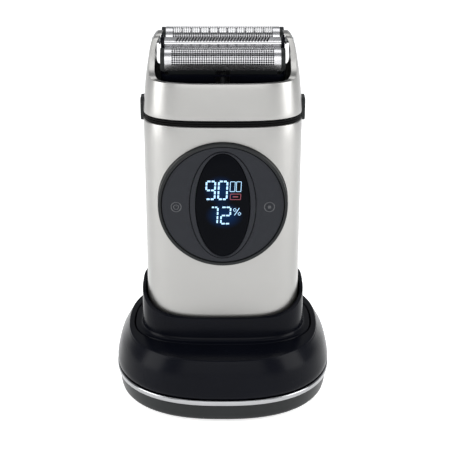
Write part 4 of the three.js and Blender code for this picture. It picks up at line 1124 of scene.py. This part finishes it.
class SHAVER_OT_inner_parts(bpy.types.Operator):
    """Finishes for the inner parts, feet and screws, whose shapes stay as they are"""
    bl_idname = "shaver.inner_parts"
    bl_label = "Inner parts"

    def execute(self, context):
        for name, node in NODES.items():
            node.material_slots[0].material = finish_for(SLOT_OF[name])
        return {"FINISHED"}


class SHAVER_OT_stage(bpy.types.Operator):
    """Pale floor, soft studio lights and the camera"""
    bl_idname = "shaver.stage"
    bl_label = "Stage"

    def execute(self, context):
        floor = add("plane", "studio_floor", size=8)
        bpy.ops.mesh.subdivide(number_cuts=3)
        close_piece()
        shade = Shade("pale paper floor")
        floor.data.materials.append(shade.surface(
            Base_Color=shade.blend(shade.noise(9), (0.86, 0.86, 0.86), (0.88, 0.88, 0.88)),
            Roughness=0.9, Specular_IOR_Level=0.1, Emission_Color=(1, 1, 1, 1), Emission_Strength=0.60))

        world = bpy.data.worlds.new("studio")
        world.use_nodes = True
        sky = world.node_tree.nodes["Background"]
        sky.inputs["Color"].default_value = (0.95, 0.97, 1.0, 1)
        sky.inputs["Strength"].default_value = 0.42
        context.scene.world = world
        context.scene.view_settings.view_transform = "Standard"

        lights = (("left_box", (-0.62, -0.22, 0.32), (0.40, 0.65), 4.2, (0, 0, 0.06)),
                  ("right_box", (0.62, -0.22, 0.32), (0.40, 0.65), 4.2, (0, 0, 0.06)),
                  ("front_wall", (0.0, -2.3, 0.75), (3.0, 1.4), 28, (0, 0, 0.12)),
                  ("front_box", (0.0, -1.3, 0.95), (0.9, 0.5), 1.5, (0, 0, 0.08)),
                  ("top_box", (0.0, 0.15, 1.1), (1.0, 0.7), 4.0, (0, 0, 0.1)))
        for name, place, size, power, target in lights:
            data = bpy.data.lights.new(name, "AREA")
            data.shape, data.size, data.size_y, data.energy = "RECTANGLE", size[0], size[1], power
            lamp = bpy.data.objects.new(name, data)
            context.collection.objects.link(lamp)
            lamp.location = place
            lamp.rotation_euler = (Vector(target) - Vector(place)).to_track_quat("-Z", "Y").to_euler()

        place, look_down = (0, -0.4777, 0.2704), 22.2
        data = bpy.data.cameras.new("studio_camera")
        data.lens, data.sensor_width, data.shift_x, data.clip_end = 92.05, 36, 0.0049, 20
        camera = bpy.data.objects.new("studio_camera", data)
        context.collection.objects.link(camera)
        tilt = Matrix.Rotation(math.radians(90 - look_down), 4, "X")
        camera.matrix_world = Matrix.Translation(place) @ tilt
        context.scene.camera = camera
        return {"FINISHED"}


STEPS = (SHAVER_OT_stage, SHAVER_OT_inner_parts, SHAVER_OT_dock_base, SHAVER_OT_trim_ring,
         SHAVER_OT_dock_cover, SHAVER_OT_cup, SHAVER_OT_shells, SHAVER_OT_seal, SHAVER_OT_buttons,
         SHAVER_OT_collar, SHAVER_OT_dial, SHAVER_OT_window, SHAVER_OT_foils, SHAVER_OT_cassette,
         SHAVER_OT_trimmer)


class SHAVER_PT_pieces(bpy.types.Panel):
    """Lists the sizes, the colours and one button for each group of pieces"""
    bl_idname = "SHAVER_PT_pieces"
    bl_label = "Shaver and dock"
    bl_space_type = "VIEW_3D"
    bl_region_type = "UI"
    bl_category = "Shaver"

    def draw(self, context):
        for group in GROUPS:
            box = self.layout.box()
            data = getattr(context.scene, group)
            for key in data.__annotations__:
                box.prop(data, key)
        for step in STEPS:
            self.layout.operator(step.bl_idname)


GROUPS = {"shaver_dock": ShaverDockSizes, "shaver_handset": ShaverHandsetSizes,
          "shaver_head": ShaverHeadSizes, "shaver_colours": ShaverColours}
CLASSES = (*GROUPS.values(), *STEPS, SHAVER_PT_pieces)


def register():
    for cls in CLASSES:
        bpy.utils.register_class(cls)
    for name, group in GROUPS.items():
        setattr(bpy.types.Scene, name, PointerProperty(type=group))


def unregister():
    for name in GROUPS:
        delattr(bpy.types.Scene, name)
    for cls in reversed(CLASSES):
        bpy.utils.unregister_class(cls)


def main():
    register()
    for step in STEPS:
        family, name = step.bl_idname.split(".")
        getattr(getattr(bpy.ops, family), name)()


if __name__ == "__main__":
    main()
